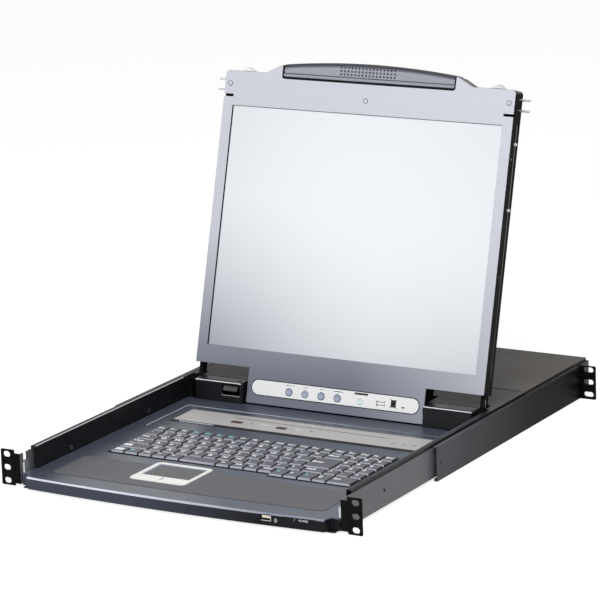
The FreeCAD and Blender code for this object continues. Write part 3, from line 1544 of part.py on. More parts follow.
def build_grip():
    """Bowed hand grip along the top, with a stepped front."""
    z = (FACE_Z - D.grip_proud, BACK_Z - D.grip_proud)
    grip = prism("XY", [
        (-D.grip_half, -D.grip_high), (D.grip_half, -D.grip_high),
        (D.grip_half, -D.grip_low), (-D.grip_half, -D.grip_low),
    ], z, None, {0: D.grip_bow})
    ledge = block((-D.grip_half - OVER, D.grip_half + OVER),
                  (-D.grip_high - D.grip_bow - OVER, -D.grip_low - D.grip_step),
                  (FACE_Z - D.grip_proud - OVER, FACE_Z - D.grip_proud + D.grip_step_depth))
    room_half = D.grip_half - D.hand_room_end
    hand_room = block((-room_half, room_half),
                      (-D.grip_high + D.hand_room_top, -D.grip_low - D.hand_room_bottom),
                      (BACK_Z - D.lid_thickness / 2, BACK_Z + OVER))
    publish(cut(grip, ledge, hand_room), "upper_handle", True)


def build_strip():
    """Control strip with holes for its buttons and jack."""
    z = (FACE_Z - D.strip_proud, FACE_Z + D.strip_sunk)
    through = (FACE_Z - 2, FACE_Z + D.strip_sunk + OVER)
    holes = [rod("Z", (x, -y), D.button_radius + D.running_gap, through) for x, y in button_places()]
    publish(cut(strip_prism(z), jack_block(through), *holes), "control_strip", True)


def build_strip_buttons():
    """Flanged push buttons, held behind the bezel."""
    low = FACE_Z - D.button_proud
    flange_low = FACE_INNER + D.button_flange_gap
    flange = (flange_low, flange_low + D.button_flange)
    labels = [f"menu_button_{number}" for number in range(1, 5)] + ["display_power_button"]
    for label, (x, y) in zip(labels, button_places()):
        cap = rod("Z", (x, -y), D.button_radius, (low, flange[1]))
        collar = rod("Z", (x, -y), D.button_radius + D.button_collar, flange)
        publish(fuse(cap, collar), label, True)


def build_jack():
    body = jack_block((FACE_Z - D.jack_proud, FACE_INNER + D.key_board_drop))
    bore = rod("Z", (D.jack_x, -D.jack_y), D.jack_bore, (FACE_Z - 2, FACE_Z + D.jack_bore_depth))
    publish(cut(body, bore), "strip_jack", True)


def build_catch(side, label):
    """Catch bar with two prongs through the side wall and a thumb flap on the top edge."""
    bar_outer = LID_HALF - D.catch_bar_edge
    bar = block((side * (bar_outer - D.catch_bar_length), side * bar_outer),
                (-D.catch_bar_high, -D.catch_bar_low), (-D.catch_bar_front, D.catch_bar_back))
    prongs = [rod("X", (-y, -D.catch_prong_drop), D.catch_prong_radius,
                  (side * (bar_outer - D.catch_prong_root), side * (RAIL_OUTER + D.catch_prong_past)))
              for y in (D.catch_prong_near, D.catch_prong_far)]
    neck_z = (-D.catch_bar_front + D.running_gap, D.catch_bar_back)
    base = -D.lid_top - D.catch_flap_base
    neck = block((side * CATCH_NECK_INNER, side * CATCH_NECK_OUTER),
                 (base, -D.catch_bar_high), neck_z)
    flap_outer = LID_HALF - D.catch_flap_edge
    flap_side = D.catch_flap_side
    flap = prism("XY", [
        (side * (flap_outer - D.catch_flap_width), base), (side * flap_outer, base),
        (side * (flap_outer - D.catch_flap_lean), base - D.catch_flap_height),
    ], (-D.catch_bar_front - flap_side, D.catch_bar_back + flap_side))
    publish(fuse(bar, neck, flap, *prongs), label, True)


def build_arms():
    """Moving half of each hinge: a bored hub and a leg fixed inside the display's side wall."""
    arms = []
    gap = D.running_gap
    for side in SIDES.values():
        hub_x = (side * (HINGE_COVER_OUTER + gap), side * (BRACKET_INNER - gap))
        hub = rod("X", (0, 0), D.arm_hub_radius, hub_x)
        leg = block((side * ARM_INNER, side * LID_INNER), (-D.arm_reach, 0),
                    (-D.arm_half_height, D.arm_half_height))
        bore = rod("X", (0, 0), D.hinge_pin_radius + gap, hub_x)
        arms.append(cut(fuse(hub, leg), bore))
    publish(group(*arms), "hinge_arms", True)


def build_display_boards():
    """Main board on the back of the panel, and the board behind the buttons."""
    low = FACE_INNER + D.panel_thickness
    top = low + D.board_thickness
    main = block((-D.main_board_half, D.main_board_half), (-D.main_board_high, -D.main_board_low),
                 (low, top))
    chips = [chip(x, -D.main_board_low - D.display_chip_setback, top)
             for x in (D.display_chip_inset - D.main_board_half, D.display_chip_inset)]
    key_low = FACE_INNER + D.key_board_drop
    key_board = block((-D.key_board_half, D.key_board_half), (-D.key_board_high, -D.key_board_low),
                      (key_low, key_low + D.board_thickness))
    tact_top = FACE_INNER + D.button_flange_gap + D.button_flange + D.tact_clear
    tacts = [block(centred(x, 2 * D.tact_half), centred(-y, 2 * D.tact_half), (tact_top, key_low))
             for x, y in button_places()]
    publish(group(fuse(main, *chips), fuse(key_board, *tacts)), "display_board", True)


def build_lcd_screws():
    """Screws of the display: three on the face, two on each side and four on the back."""
    screws = [screw("Z", place, FACE_Z, -1) for place in face_screw_places()]
    for side in SIDES.values():
        for place in side_screw_places():
            head = (side * LID_HALF, side * (LID_HALF + D.screw_head_height))
            shank = (side * LID_INNER, side * LID_HALF)
            screws.append(fuse(rod("X", place, D.screw_head_radius, head),
                               rod("X", place, D.screw_shank_radius, shank)))
    for place in back_screw_places():
        screws.append(fuse(rod("Z", place, D.screw_head_radius, (BACK_Z, BACK_Z + D.screw_head_height)),
                           rod("Z", place, D.screw_shank_radius, (BACK_INNER - D.back_screw_past, BACK_Z))))
    publish(group(*screws), "lcd_screws", True)


# ---------------------------------------------------------------- the whole object

def build_all():
    for name, side in SIDES.items():
        build_rail(side, "rail_" + name)
        build_slide_member(side, "slide_member_" + name)
        build_rear_bracket(side, "rear_bracket_" + name)
        build_drawer_wall(side, "drawer_wall_" + name)
        build_hinge_cover(side, "hinge_cover_" + name)
        build_catch(side, "catch_" + name)
    build_bracket_guides()
    build_case()
    build_cover()
    build_rear_panel()
    build_port_connectors()
    build_console_ports()
    build_mains_inlet()
    build_power_rocker()
    build_boards_and_supply()
    build_chassis_screws()
    build_pan()
    build_deck()
    build_tray()
    build_palm_plate()
    build_touchpad()
    build_keyboard_base()
    for index, name in enumerate(KEY_ROWS):
        build_key_row(index, name)
    build_status_panel()
    build_front_socket()
    build_controller_board()
    build_release_lever()
    build_hinge_brackets()
    build_drawer_screws()
    build_bezel()
    build_rear_cover()
    build_panel_and_screen()
    build_grip()
    build_strip()
    build_strip_buttons()
    build_jack()
    build_arms()
    build_display_boards()
    build_lcd_screws()
    doc.recompute()


def check_model():
    for item in doc.Objects:
        if "Invalid" in item.State or "Error" in item.State:
            raise RuntimeError(f"{item.Name} ({item.Label}) did not compute: {item.State}")
    for piece in PUBLISHED:
        shape = piece.Shape
        if shape.isNull() or not shape.isValid() or not shape.Solids:
            raise RuntimeError(f"{piece.Label} is not a valid shape")


def write_parts():
    os.makedirs("parts", exist_ok=True)
    for piece in PUBLISHED:
        piece.Shape.exportStep(os.path.join("parts", piece.Label + ".step"))
    print(f"{len(PUBLISHED)} sub-parts written")


build_all()
check_model()
write_parts()
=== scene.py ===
"""Dresses the rack console drawer: finishes, keys, grip, screws, sockets, light and camera.

Pieces are modelled in millimetres in one of two spaces. BASE has Z = 0 at the underside, X across the
rack and Y from front to back. FACE lies on the front of the raised display: x across, y up the face
from the hinge and z out of it.
"""

import logging
import math
from collections.abc import Callable, Iterable, Sequence
from dataclasses import dataclass
from enum import Enum

import bmesh
import bpy
from mathutils import Matrix, Vector


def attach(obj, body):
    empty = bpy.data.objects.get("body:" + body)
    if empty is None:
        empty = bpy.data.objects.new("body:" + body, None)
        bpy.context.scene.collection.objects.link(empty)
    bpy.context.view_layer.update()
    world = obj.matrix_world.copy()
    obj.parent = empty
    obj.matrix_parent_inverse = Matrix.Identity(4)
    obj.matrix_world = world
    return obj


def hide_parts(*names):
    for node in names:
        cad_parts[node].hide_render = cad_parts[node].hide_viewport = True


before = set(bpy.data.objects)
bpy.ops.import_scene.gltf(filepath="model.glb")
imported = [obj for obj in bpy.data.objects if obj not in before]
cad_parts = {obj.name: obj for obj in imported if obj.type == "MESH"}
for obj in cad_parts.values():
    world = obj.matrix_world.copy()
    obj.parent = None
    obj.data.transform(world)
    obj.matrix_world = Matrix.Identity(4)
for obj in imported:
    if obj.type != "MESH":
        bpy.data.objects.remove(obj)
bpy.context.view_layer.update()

log = logging.getLogger("console_drawer")

MM = 0.001
HALF_RACK_UNIT = 22.225
HINGE_Y = 378.0
HINGE_Z = 33.75 - HALF_RACK_UNIT
FACE_DEPTH = 12.25
LEAN = math.radians(15.93)

Span = tuple[float, float]
Point = tuple[float, float]
Place = tuple[float, float, float]
Colour = tuple[float, float, float, float]
Socket = bpy.types.NodeSocket


def tone(red: int, green: int, blue: int) -> Colour:
    """Turns a display colour of 0 to 255 into the linear colour of a shader.

    Args:
        red: Red of the display colour.
        green: Green of the display colour.
        blue: Blue of the display colour.

    Returns:
        The linear colour with full alpha.
    """
    linear = [c / 3294.6 if c <= 10 else ((c / 255 + 0.055) / 1.055) ** 2.4 for c in (red, green, blue)]
    return (*linear, 1.0)


def face_matrix() -> Matrix:
    """Gives the matrix from the plane of the display's front to the frame, in millimetres."""
    up = Vector((0.0, math.sin(LEAN), math.cos(LEAN)))
    out = Vector((0.0, -math.cos(LEAN), math.sin(LEAN)))
    origin = Vector((0.0, HINGE_Y, HINGE_Z)) + out * FACE_DEPTH
    turned = Matrix((Vector((1.0, 0.0, 0.0)), up, out)).transposed().to_4x4()
    return Matrix.Translation(origin) @ turned


class Space(Enum):
    """The space that a piece is modelled in, and its matrix to the frame in metres."""

    BASE = "base"
    FACE = "face"

    def matrix(self) -> Matrix:
        """Gives the matrix from this space to the frame in metres."""
        place = Matrix.Translation((0.0, 0.0, -HALF_RACK_UNIT)) if self is Space.BASE else face_matrix()
        return Matrix.Scale(MM, 4) @ place


# ------------------------------------------------------------------ shader node groups and finishes

class Graph:
    """A node tree with one call that adds a node and joins it."""

    def __init__(self, tree: bpy.types.NodeTree) -> None:
        """Starts from an empty tree.

        Args:
            tree: The node tree of a material, a group or the world.
        """
        self.tree = tree
        tree.nodes.clear()

    def node(self, kind: str, inputs: dict | None = None, **settings: object) -> bpy.types.Node:
        """Adds a node.

        Args:
            kind: The node's type name.
            inputs: Its inputs by name or number, each a value or a socket to join.
            **settings: The node's own properties.

        Returns:
            The new node.
        """
        made = self.tree.nodes.new(kind)
        for name, value in settings.items():
            setattr(made, name, value)
        for name, value in (inputs or {}).items():
            if isinstance(value, Socket):
                self.tree.links.new(value, made.inputs[name])
            else:
                made.inputs[name].default_value = value
        return made

    def math(self, operation: str, first: object, second: object = 0.0) -> Socket:
        """Adds a Math node and gives its output."""
        return self.node("ShaderNodeMath", {0: first, 1: second}, operation=operation).outputs[0]

    def times(self, first: object, second: object) -> Socket:
        """Multiplies two values."""
        return self.math("MULTIPLY", first, second)

    def blend(self, factor: object, first: object, second: object) -> Socket:
        """Adds a colour Mix node and gives its output."""
        mix = self.node("ShaderNodeMix", {0: factor, 6: first, 7: second}, data_type="RGBA")
        return mix.outputs[2]

    def ramp(self, value: object, low: float, high: float, out_low: float = 0.0,
             out_high: float = 1.0) -> Socket:
        """Adds a Map Range node and gives its output."""
        made = self.node("ShaderNodeMapRange", {0: value, 1: low, 2: high, 3: out_low, 4: out_high})
        return made.outputs[0]

    def noise(self, place: object, scale: object, **inputs: float) -> Socket:
        """Adds a Noise Texture node and gives its value."""
        return self.node("ShaderNodeTexNoise", {"Vector": place, "Scale": scale, **inputs}).outputs[0]


def new_group(name: str, inputs: Sequence[tuple[str, str]], outputs: Sequence[str]) -> tuple[Graph,
                                                                                             bpy.types.Node]:
    """Makes an empty shader node group.

    Args:
        name: The group's name.
        inputs: Pairs of socket name and socket type.
        outputs: Names of the value outputs.

    Returns:
        Its graph and its input node.
    """
    tree = bpy.data.node_groups.new(name, "ShaderNodeTree")
    for label, kind in inputs:
        tree.interface.new_socket(name=label, in_out="INPUT", socket_type=kind)
    for label in outputs:
        tree.interface.new_socket(name=label, in_out="OUTPUT", socket_type="NodeSocketFloat")
    graph = Graph(tree)
    return graph, graph.node("NodeGroupInput")


VECTOR = "NodeSocketVector"
FLOAT = "NodeSocketFloat"


def grain_group() -> bpy.types.NodeTree:
    """Makes the grain of moulded or coated surfaces: a fine mask, a height and broad mottling."""
    graph, start = new_group("surface_grain", [("Vector", VECTOR), ("Scale", FLOAT)],
                             ["Mask", "Height", "Mottle"])
    place = start.outputs["Vector"]
    fine = graph.noise(place, start.outputs["Scale"], Detail=3.0, Roughness=0.6)
    broad = graph.noise(place, 14.0, Detail=3.0, Roughness=0.55)
    graph.node("NodeGroupOutput", {"Mask": graph.ramp(fine, 0.32, 0.68), "Height": fine,
                                   "Mottle": graph.ramp(broad, 0.3, 0.7)})
    return graph.tree


def wear_group() -> bpy.types.NodeTree:
    """Makes the rub marks on outer edges and the smudges left by hands."""
    graph, start = new_group("edge_wear", [("Vector", VECTOR)], ["Edge", "Smudge"])
    place = start.outputs["Vector"]
    sharp = graph.node("ShaderNodeNewGeometry").outputs["Pointiness"]
    broken = graph.ramp(graph.noise(place, 90.0, Detail=4.0, Roughness=0.7), 0.42, 0.62)
    edge = graph.times(graph.ramp(sharp, 0.53, 0.6), broken)
    smear = graph.noise(place, 22.0, Detail=2.0, Distortion=0.8)
    graph.node("NodeGroupOutput", {"Edge": edge, "Smudge": graph.ramp(smear, 0.4, 0.72)})
    return graph.tree


def dust_group() -> bpy.types.NodeTree:
    """Makes the light dust that settles on faces that look up."""
    graph, start = new_group("settled_dust", [("Vector", VECTOR)], ["Mask"])
    place = start.outputs["Vector"]
    normal = graph.node("ShaderNodeNewGeometry").outputs["Normal"]
    level = graph.node("ShaderNodeSeparateXYZ", {0: normal}).outputs["Z"]
    spread = graph.times(graph.ramp(graph.noise(place, 420.0, Detail=2.0), 0.5, 0.75),
                         graph.ramp(graph.noise(place, 9.0), 0.35, 0.7))
    graph.node("NodeGroupOutput", {"Mask": graph.times(graph.ramp(level, 0.75, 1.0), spread)})
    return graph.tree


GRAIN, WEAR, DUST = grain_group(), wear_group(), dust_group()
MATERIALS: dict[str, bpy.types.Material] = {}


@dataclass(frozen=True)
class Finish:
    """A surface: its colour, gloss, grain and the marks of use.

    Attributes:
        name: The material's name.
        colour: Linear base colour.
        roughness: Mean roughness.
        metallic: Share of bare metal.
        specular: Specular level of the paint or plastic.
        variation: Change in brightness across the grain.
        grain: Cells of grain in a metre.
        relief: Height of the grain in millimetres.
        wear: Share of rubbed edges.
        worn: Linear colour of rubbed edges.
        dust: Share of settled dust.
        coat: Weight of a clear coat.
        stretch: Scale of the grain along each axis, for brushed metal.
    """

    name: str
    colour: Colour
    roughness: float = 0.5
    metallic: float = 0.0
    specular: float = 0.5
    variation: float = 0.06
    grain: float = 900.0
    relief: float = 0.02
    wear: float = 0.05
    worn: Colour = (0.35, 0.36, 0.38, 1.0)
    dust: float = 0.015
    coat: float = 0.0
    stretch: Place = (1.0, 1.0, 1.0)

    def shade(self, share: float) -> Colour:
        """Gives the base colour made lighter or darker by a share."""
        return (*[min(1.0, c * (1.0 + share)) for c in self.colour[:3]], 1.0)

    def pattern(self, graph: Graph, place: Socket, grain: bpy.types.Node) -> Socket:
        """Gives the colour before wear and dust: two tones of the base colour over the grain.

        Args:
            graph: The material's graph.
            place: Object coordinates.
            grain: The grain group's node.

        Returns:
            The colour socket.
        """
        fine = graph.blend(grain.outputs["Mask"], self.shade(-self.variation), self.shade(self.variation))
        return graph.blend(graph.times(grain.outputs["Mottle"], 0.5), fine,
                           self.shade(-0.6 * self.variation))

    def material(self) -> bpy.types.Material:
        """Builds the material once and gives it again after that.

        Returns:
            The material.
        """
        if self.name not in MATERIALS:
            made = MATERIALS[self.name] = bpy.data.materials.new(f"{self.name}_finish")
            made.use_nodes = True
            graph = Graph(made.node_tree)
            graph.node("ShaderNodeOutputMaterial", {"Surface": self.surface(graph).outputs[0]})
        return MATERIALS[self.name]

    def surface(self, graph: Graph) -> bpy.types.Node:
        """Builds the nodes of the surface.

        Args:
            graph: The material's graph.

        Returns:
            The shader node.
        """
        place = graph.node("ShaderNodeTexCoord").outputs["Object"]
        run = graph.node("ShaderNodeMapping", {"Vector": place, "Scale": self.stretch}).outputs[0]
        grain = graph.node("ShaderNodeGroup", {"Vector": run, "Scale": self.grain}, node_tree=GRAIN)
        wear = graph.node("ShaderNodeGroup", {"Vector": place}, node_tree=WEAR)
        dust = graph.node("ShaderNodeGroup", {"Vector": place}, node_tree=DUST)
        colour = self.pattern(graph, place, grain)
        rubbed = graph.blend(graph.times(wear.outputs["Edge"], self.wear), colour, self.worn)
        dusty = graph.blend(graph.times(dust.outputs["Mask"], self.dust), rubbed, (0.62, 0.61, 0.59, 1.0))
        rough = graph.ramp(wear.outputs["Smudge"], 0.0, 1.0, self.roughness + 0.02, self.roughness - 0.03)
        bump = graph.node("ShaderNodeBump", {"Height": grain.outputs["Height"], "Strength": 0.6,
                                             "Distance": self.relief * MM})
        return graph.node("ShaderNodeBsdfPrincipled", {"Base Color": dusty, "Roughness": rough,
                                                       "Normal": bump.outputs[0], "Metallic": self.metallic,
                                                       "Specular IOR Level": self.specular,
                                                       "Coat Weight": self.coat,})


@dataclass(frozen=True)
class SpeckledFinish(Finish):
    """A coated plate with pale and dark flecks."""

    fleck: Colour = (0.4, 0.4, 0.41, 1.0)

    def pattern(self, graph: Graph, place: Socket, grain: bpy.types.Node) -> Socket:
        """Adds flecks to the two tones of the grain; the arguments are those of Finish.pattern."""
        plain = super().pattern(graph, place, grain)
        cells = graph.node("ShaderNodeTexVoronoi", {"Vector": place, "Scale": self.grain * 0.8})
        light = graph.ramp(cells.outputs["Distance"], 0.3, 0.12)
        return graph.blend(graph.times(light, 0.4), plain, self.fleck)


@dataclass(frozen=True)
class PaintedFalloffFinish(Finish):
    """A finish that falls to a second colour along an axis: a painted falloff of light, or painted shade.

    Attributes:
        far: Linear colour at the end of the fall.
        axis: The axis of the fall.
        fall: Where the fall starts and ends, in metres.
        keep: Share of the fall that is left at the right-hand end.
        right: Where that share starts and ends to shrink, in metres.
    """

    far: Colour = (0.1, 0.1, 0.1, 1.0)
    axis: str = "Z"
    fall: Span = (0.0, 1.0)
    keep: float = 1.0
    right: Span = (0.0, 0.2)

    def pattern(self, graph: Graph, place: Socket, grain: bpy.types.Node) -> Socket:
        """Adds the fall to the two tones of the grain; the arguments are those of Finish.pattern."""
        plain = super().pattern(graph, place, grain)
        axes = graph.node("ShaderNodeSeparateXYZ", {0: place})
        share = graph.times(graph.ramp(axes.outputs[self.axis], *self.fall),
                            graph.ramp(axes.outputs["X"], *self.right, 1.0, self.keep))
        return graph.blend(share, plain, self.far)


@dataclass(frozen=True)
class BoardFinish(Finish):
    """A lacquered board with paler copper tracks under the lacquer."""

    def pattern(self, graph: Graph, place: Socket, grain: bpy.types.Node) -> Socket:
        """Adds tracks to the two tones of the grain; the arguments are those of Finish.pattern."""
        plain = super().pattern(graph, place, grain)
        bricks = graph.node("ShaderNodeTexBrick", {"Vector": place, "Scale": 160.0, "Mortar Size": 0.012})
        return graph.blend(bricks.outputs["Fac"], plain, self.shade(1.2))


@dataclass(frozen=True)
class ScreenFinish(Finish):
    """The lit display: an even pale picture that falls off towards its lower corners.

    Attributes:
        glow: Strength of the light.
        low_left: Linear colour of the darkest corner.
    """

    glow: float = 1.0
    low_left: Colour = (0.45, 0.5, 0.56, 1.0)

    def surface(self, graph: Graph) -> bpy.types.Node:
        """Builds the nodes of the screen.

        Args:
            graph: The material's graph.

        Returns:
            The shader node.
        """
        place = graph.node("ShaderNodeTexCoord").outputs["Object"]
        axes = graph.node("ShaderNodeSeparateXYZ", {0: place})
        across = graph.ramp(axes.outputs["X"], -0.19, 0.04, 1.0, 0.0)
        down = graph.ramp(axes.outputs["Z"], 0.24, 0.04, 0.0, 1.0)
        corner = graph.math("ADD", graph.times(across, 0.35), graph.times(down, 0.65))
        soft = graph.noise(place, 6.0, Detail=1.0)
        haze = graph.times(graph.times(corner, corner), graph.ramp(soft, 0.2, 0.8, 0.8, 1.0))
        side = graph.times(axes.outputs["X"], 5.3)
        rise = graph.times(graph.math("SUBTRACT", axes.outputs["Z"], 0.205), 6.9)
        spread = graph.math("ADD", graph.times(side, side), graph.times(rise, rise))
        shade = graph.math("ADD", haze, graph.times(spread, 0.07))
        picture = graph.blend(shade, self.colour, self.low_left)
        grain = graph.node("ShaderNodeGroup", {"Vector": place, "Scale": self.grain}, node_tree=GRAIN)
        bump = graph.node("ShaderNodeBump", {"Height": grain.outputs["Height"], "Strength": 0.2,
                                             "Distance": self.relief * MM})
        return graph.node("ShaderNodeBsdfPrincipled", {
            "Base Color": (0.02, 0.022, 0.025, 1.0), "Roughness": self.roughness,
            "Specular IOR Level": self.specular, "Emission Color": picture,
            "Emission Strength": self.glow, "Normal": bump.outputs[0],
        })


class Finishes:
    """Every finish of the object."""

    BLACK_STEEL = Finish("black_steel", tone(13, 13, 15), 0.42, specular=0.04, grain=1500, relief=0.012)
    # Painted sheen: black paint given the grey of reflected light, fading to near black towards the rear.
    BRACKET_PAINTED_SHEEN = PaintedFalloffFinish("bracket_painted_sheen", tone(86, 87, 91), 0.45, specular=0.05, grain=1500,
                                 relief=0.01, far=tone(17, 16, 16), axis="Y", fall=(0.24, 0.47))
    # Painted highlight: a pale strip for light caught on the top edges, paler on the left and duller on the
    # right.
    RAIL_EDGE_HIGHLIGHT = PaintedFalloffFinish("rail_edge_highlight", tone(226, 227, 232), 0.3, metallic=0.3, variation=0.04, grain=1500,
                             relief=0.006, far=tone(84, 85, 90), axis="X", fall=(-0.1, 0.1))
    # Painted sheen: black paint given the grey of reflected light, fading to near black towards the rear.
    RAIL_PAINTED_SHEEN = PaintedFalloffFinish("rail_painted_sheen", tone(100, 101, 105), 0.38, specular=0.2, grain=1500, relief=0.01,
                              far=tone(20, 20, 22), axis="Y", fall=(0.22, 0.44))
    SLIDE_STEEL = Finish("slide_steel", tone(54, 54, 58), 0.35, metallic=0.6, variation=0.06, grain=260,
                         relief=0.004, wear=0.1, stretch=(1.0, 14.0, 14.0))
    WALL_STEEL = Finish("wall_steel", tone(20, 20, 23), 0.38, specular=0.12, grain=1500, relief=0.008)
    COVER_STEEL = Finish("cover_steel", tone(84, 80, 76), 0.55, specular=0.12, variation=0.1, grain=1100,
                         relief=0.03)
    DECK_STEEL = Finish("deck_steel", tone(70, 67, 64), 0.55, specular=0.12, variation=0.1, grain=1100,
                        relief=0.03)
    ZINC = Finish("zinc_plate", tone(196, 197, 200), 0.32, metallic=1.0, variation=0.08, grain=260,
                  relief=0.004, wear=0.1, stretch=(1.0, 14.0, 14.0))
    DARK_SCREW = Finish("dark_screw", tone(92, 93, 96), 0.35, metallic=0.9, grain=1200)
    FACE_SCREW = Finish("face_screw", tone(214, 217, 224), 0.35, metallic=0.4, grain=1200)
    TRAY = Finish("tray_blue", tone(66, 72, 85), 0.3, specular=0.5, variation=0.05, grain=1300, relief=0.006,
                  worn=tone(120, 126, 140))
    # Painted highlight: a pale blue for light caught on the tray's front lip and bead, duller towards the
    # right.
    RIDGE_HIGHLIGHT = PaintedFalloffFinish("tray_ridge_highlight", tone(220, 226, 240), 0.24, metallic=0.2, variation=0.03, grain=1300,
                         relief=0.004, far=tone(138, 144, 160), axis="X", fall=(-0.08, 0.14))
    # Painted shade: the tray's blue falling to near black towards the right.
    FASCIA_SHADED = PaintedFalloffFinish("fascia_shaded", tone(66, 71, 84), 0.34, specular=0.12, variation=0.05, grain=1300,
                          relief=0.006, far=tone(18, 19, 24), axis="X", fall=(-0.06, 0.12))
    PALM = SpeckledFinish("palm_speckle", tone(88, 87, 92), 0.5, specular=0.25, variation=0.05, grain=1500,
                          relief=0.02, dust=0.0, fleck=tone(124, 123, 128))
    PAD_FRAME = Finish("pad_frame_white", tone(238, 239, 233), 0.34, variation=0.02, wear=0.0)
    PAD_SLOPE = Finish("pad_slope_blue", tone(152, 160, 180), 0.3, variation=0.03, wear=0.0)
    PAD = Finish("pad_grey", tone(95, 95, 96), 0.5, specular=0.2, variation=0.03, grain=2600, relief=0.01)
    KEY = Finish("key_charcoal", tone(84, 85, 92), 0.42, specular=0.45, variation=0.06, grain=2200,
                 relief=0.012, worn=(0.2, 0.2, 0.22, 1.0))
    # Painted shade: a darker copy of the key colour for the skirts, sides and backs of the caps.
    KEY_PAINTED_SHADE = Finish("key_painted_shade", tone(30, 30, 34), 0.5, specular=0.3, variation=0.05, grain=2200)
    # Painted highlight: a paler copy of the key colour for the fronts of the caps.
    KEY_FRONT_HIGHLIGHT = Finish("key_front_highlight", tone(170, 171, 184), 0.4, specular=0.45, variation=0.06, grain=2200,
                       relief=0.012)
    WELL = Finish("well_black", tone(16, 16, 18), 0.7, specular=0.2)
    LEGEND = Finish("legend_white", tone(240, 241, 242), 0.5, variation=0.02, wear=0.0, dust=0.0)
    LEGEND_TEAL = Finish("legend_teal", tone(120, 208, 222), 0.5, variation=0.02, wear=0.0, dust=0.0)
    STATUS = Finish("status_silver", tone(184, 181, 178), 0.4, specular=0.4, variation=0.03, grain=1800)
    # A dark colour for the printed band in front of the panel and for the painted shadow at its left end.
    STATUS_BAND_AND_SHADOW = Finish("status_band_and_shadow", tone(28, 25, 27), 0.5, specular=0.15, variation=0.1)
    STATUS_GLASS = Finish("status_glass", tone(74, 52, 48), 0.5, specular=0.15, variation=0.05, relief=0.002)
    PRINT_GREY = Finish("print_grey", tone(88, 86, 88), 0.5, variation=0.03, wear=0.0)
    PRINT_PALE = Finish("print_pale", tone(196, 216, 230), 0.5, variation=0.03, wear=0.0)
    LEVER = Finish("lever_grey", tone(46, 46, 51), 0.36, specular=0.5, grain=1700, relief=0.01)
    BLOCK = Finish("hinge_block_black", tone(26, 26, 30), 0.36, specular=0.4, variation=0.06, grain=1700,
                   relief=0.012, worn=tone(70, 70, 76))
    # Painted highlight: a near-white strip for light caught on the hinge covers' top front edges.
    BLOCK_EDGE_HIGHLIGHT = Finish("hinge_block_edge_highlight", tone(232, 230, 240), 0.3, metallic=0.1, variation=0.03,
                        grain=1700, relief=0.004)
    # Painted shade: the silver falls to a darker blue-grey towards the bottom of the bezel, less so on the
    # right.
    BEZEL_SHADED = PaintedFalloffFinish("bezel_silver", tone(199, 201, 211), 0.4, metallic=0.1, specular=0.3,
                         variation=0.02, grain=2000, relief=0.004, worn=tone(226, 228, 232),
                         far=tone(118, 123, 137), fall=(0.2, 0.03), keep=0.3, right=(0.02, 0.2))
    # Painted highlight: a pale line for light caught along the side joint of the display's shells, fading to
    # near black towards the bottom.
    SEAM_HIGHLIGHT = PaintedFalloffFinish("lid_seam", tone(168, 164, 162), 0.4, variation=0.04, far=tone(34, 30, 30),
                        fall=(0.27, 0.12))
    LID_BACK = Finish("lid_back", tone(15, 12, 12), 0.45, specular=0.03, grain=1500, relief=0.015)
    # Painted shade: a darker copy of the grip's silver for the band where its top starts to round over.
    GRIP_MID_SHADE = Finish("grip_mid_shade", tone(104, 106, 114), 0.38, metallic=0.3, variation=0.03, grain=1700,
                      relief=0.006)
    GRIP = Finish("grip_silver", tone(144, 146, 156), 0.38, metallic=0.3, variation=0.03, grain=1700,
                  relief=0.006, worn=tone(180, 182, 190))
    # Painted shade: a much darker copy of the grip's silver for its rounded top, also used for a dark line
    # on the bezel's top edge.
    GRIP_TOP_SHADE = Finish("grip_top_shade", tone(54, 55, 62), 0.4, metallic=0.3, variation=0.04, grain=1700,
                      relief=0.006, worn=tone(110, 112, 118))
    # Painted shadow: the dark line under the grip's ridge and along its lower edge.
    GRIP_GROOVE_SHADOW = Finish("grip_groove_shadow", tone(52, 52, 58), 0.45, metallic=0.2, variation=0.04)
    # Painted shade: the dark inside the grip's dimples.
    DIMPLE_SHADE = Finish("dimple_shade", tone(22, 24, 34), 0.6, variation=0.05)
    # Painted shade: black for the shade in gaps, holes and recesses.
    GAP_SHADE = Finish("gap_shade_black", tone(12, 12, 14), 0.8, specular=0.1)
    STRIP = Finish("strip_white", tone(252, 252, 253), 0.35, variation=0.01, wear=0.0, dust=0.0)
    BUTTON = Finish("button_pale", tone(166, 176, 200), 0.35, variation=0.03, coat=0.3)
    POWER_CAP = Finish("power_cyan", tone(226, 244, 244), 0.3, variation=0.02, wear=0.0)
    JACK = Finish("jack_black", tone(16, 16, 18), 0.5)
    JACK_RIM = Finish("jack_rim", tone(120, 120, 122), 0.4, metallic=0.7)
    SCREEN = ScreenFinish("screen_lit", tone(244, 249, 253), 0.3, specular=0.3, relief=0.004, grain=3000,
                          glow=0.92, low_left=tone(148, 154, 164))
    PANEL = Finish("panel_dark", tone(60, 60, 64), 0.4, metallic=0.6)
    BOARD = BoardFinish("board_green", tone(28, 92, 56), 0.45, variation=0.1, wear=0.0)
    PORT_BLUE = Finish("port_blue", tone(44, 76, 170), 0.4, variation=0.04)
    PORT_STEEL = Finish("port_steel", tone(186, 186, 188), 0.3, metallic=1.0, variation=0.08, grain=600)
    PORT_BLACK = Finish("port_black", tone(26, 26, 28), 0.55)
    SOCKET_TONGUE = Finish("socket_tongue", tone(226, 218, 196), 0.45, variation=0.05)
    MOUSE_GREEN = Finish("mouse_green", tone(70, 150, 104), 0.5, variation=0.04)
    KEY_PURPLE = Finish("keyboard_purple", tone(104, 82, 150), 0.5, variation=0.04)
    BRASS_PIN = Finish("brass_pin", tone(206, 182, 120), 0.3, metallic=1.0, variation=0.05)
    LAMP = Finish("lamp_green", tone(24, 34, 28), 0.15, variation=0.02, wear=0.0, coat=0.6)


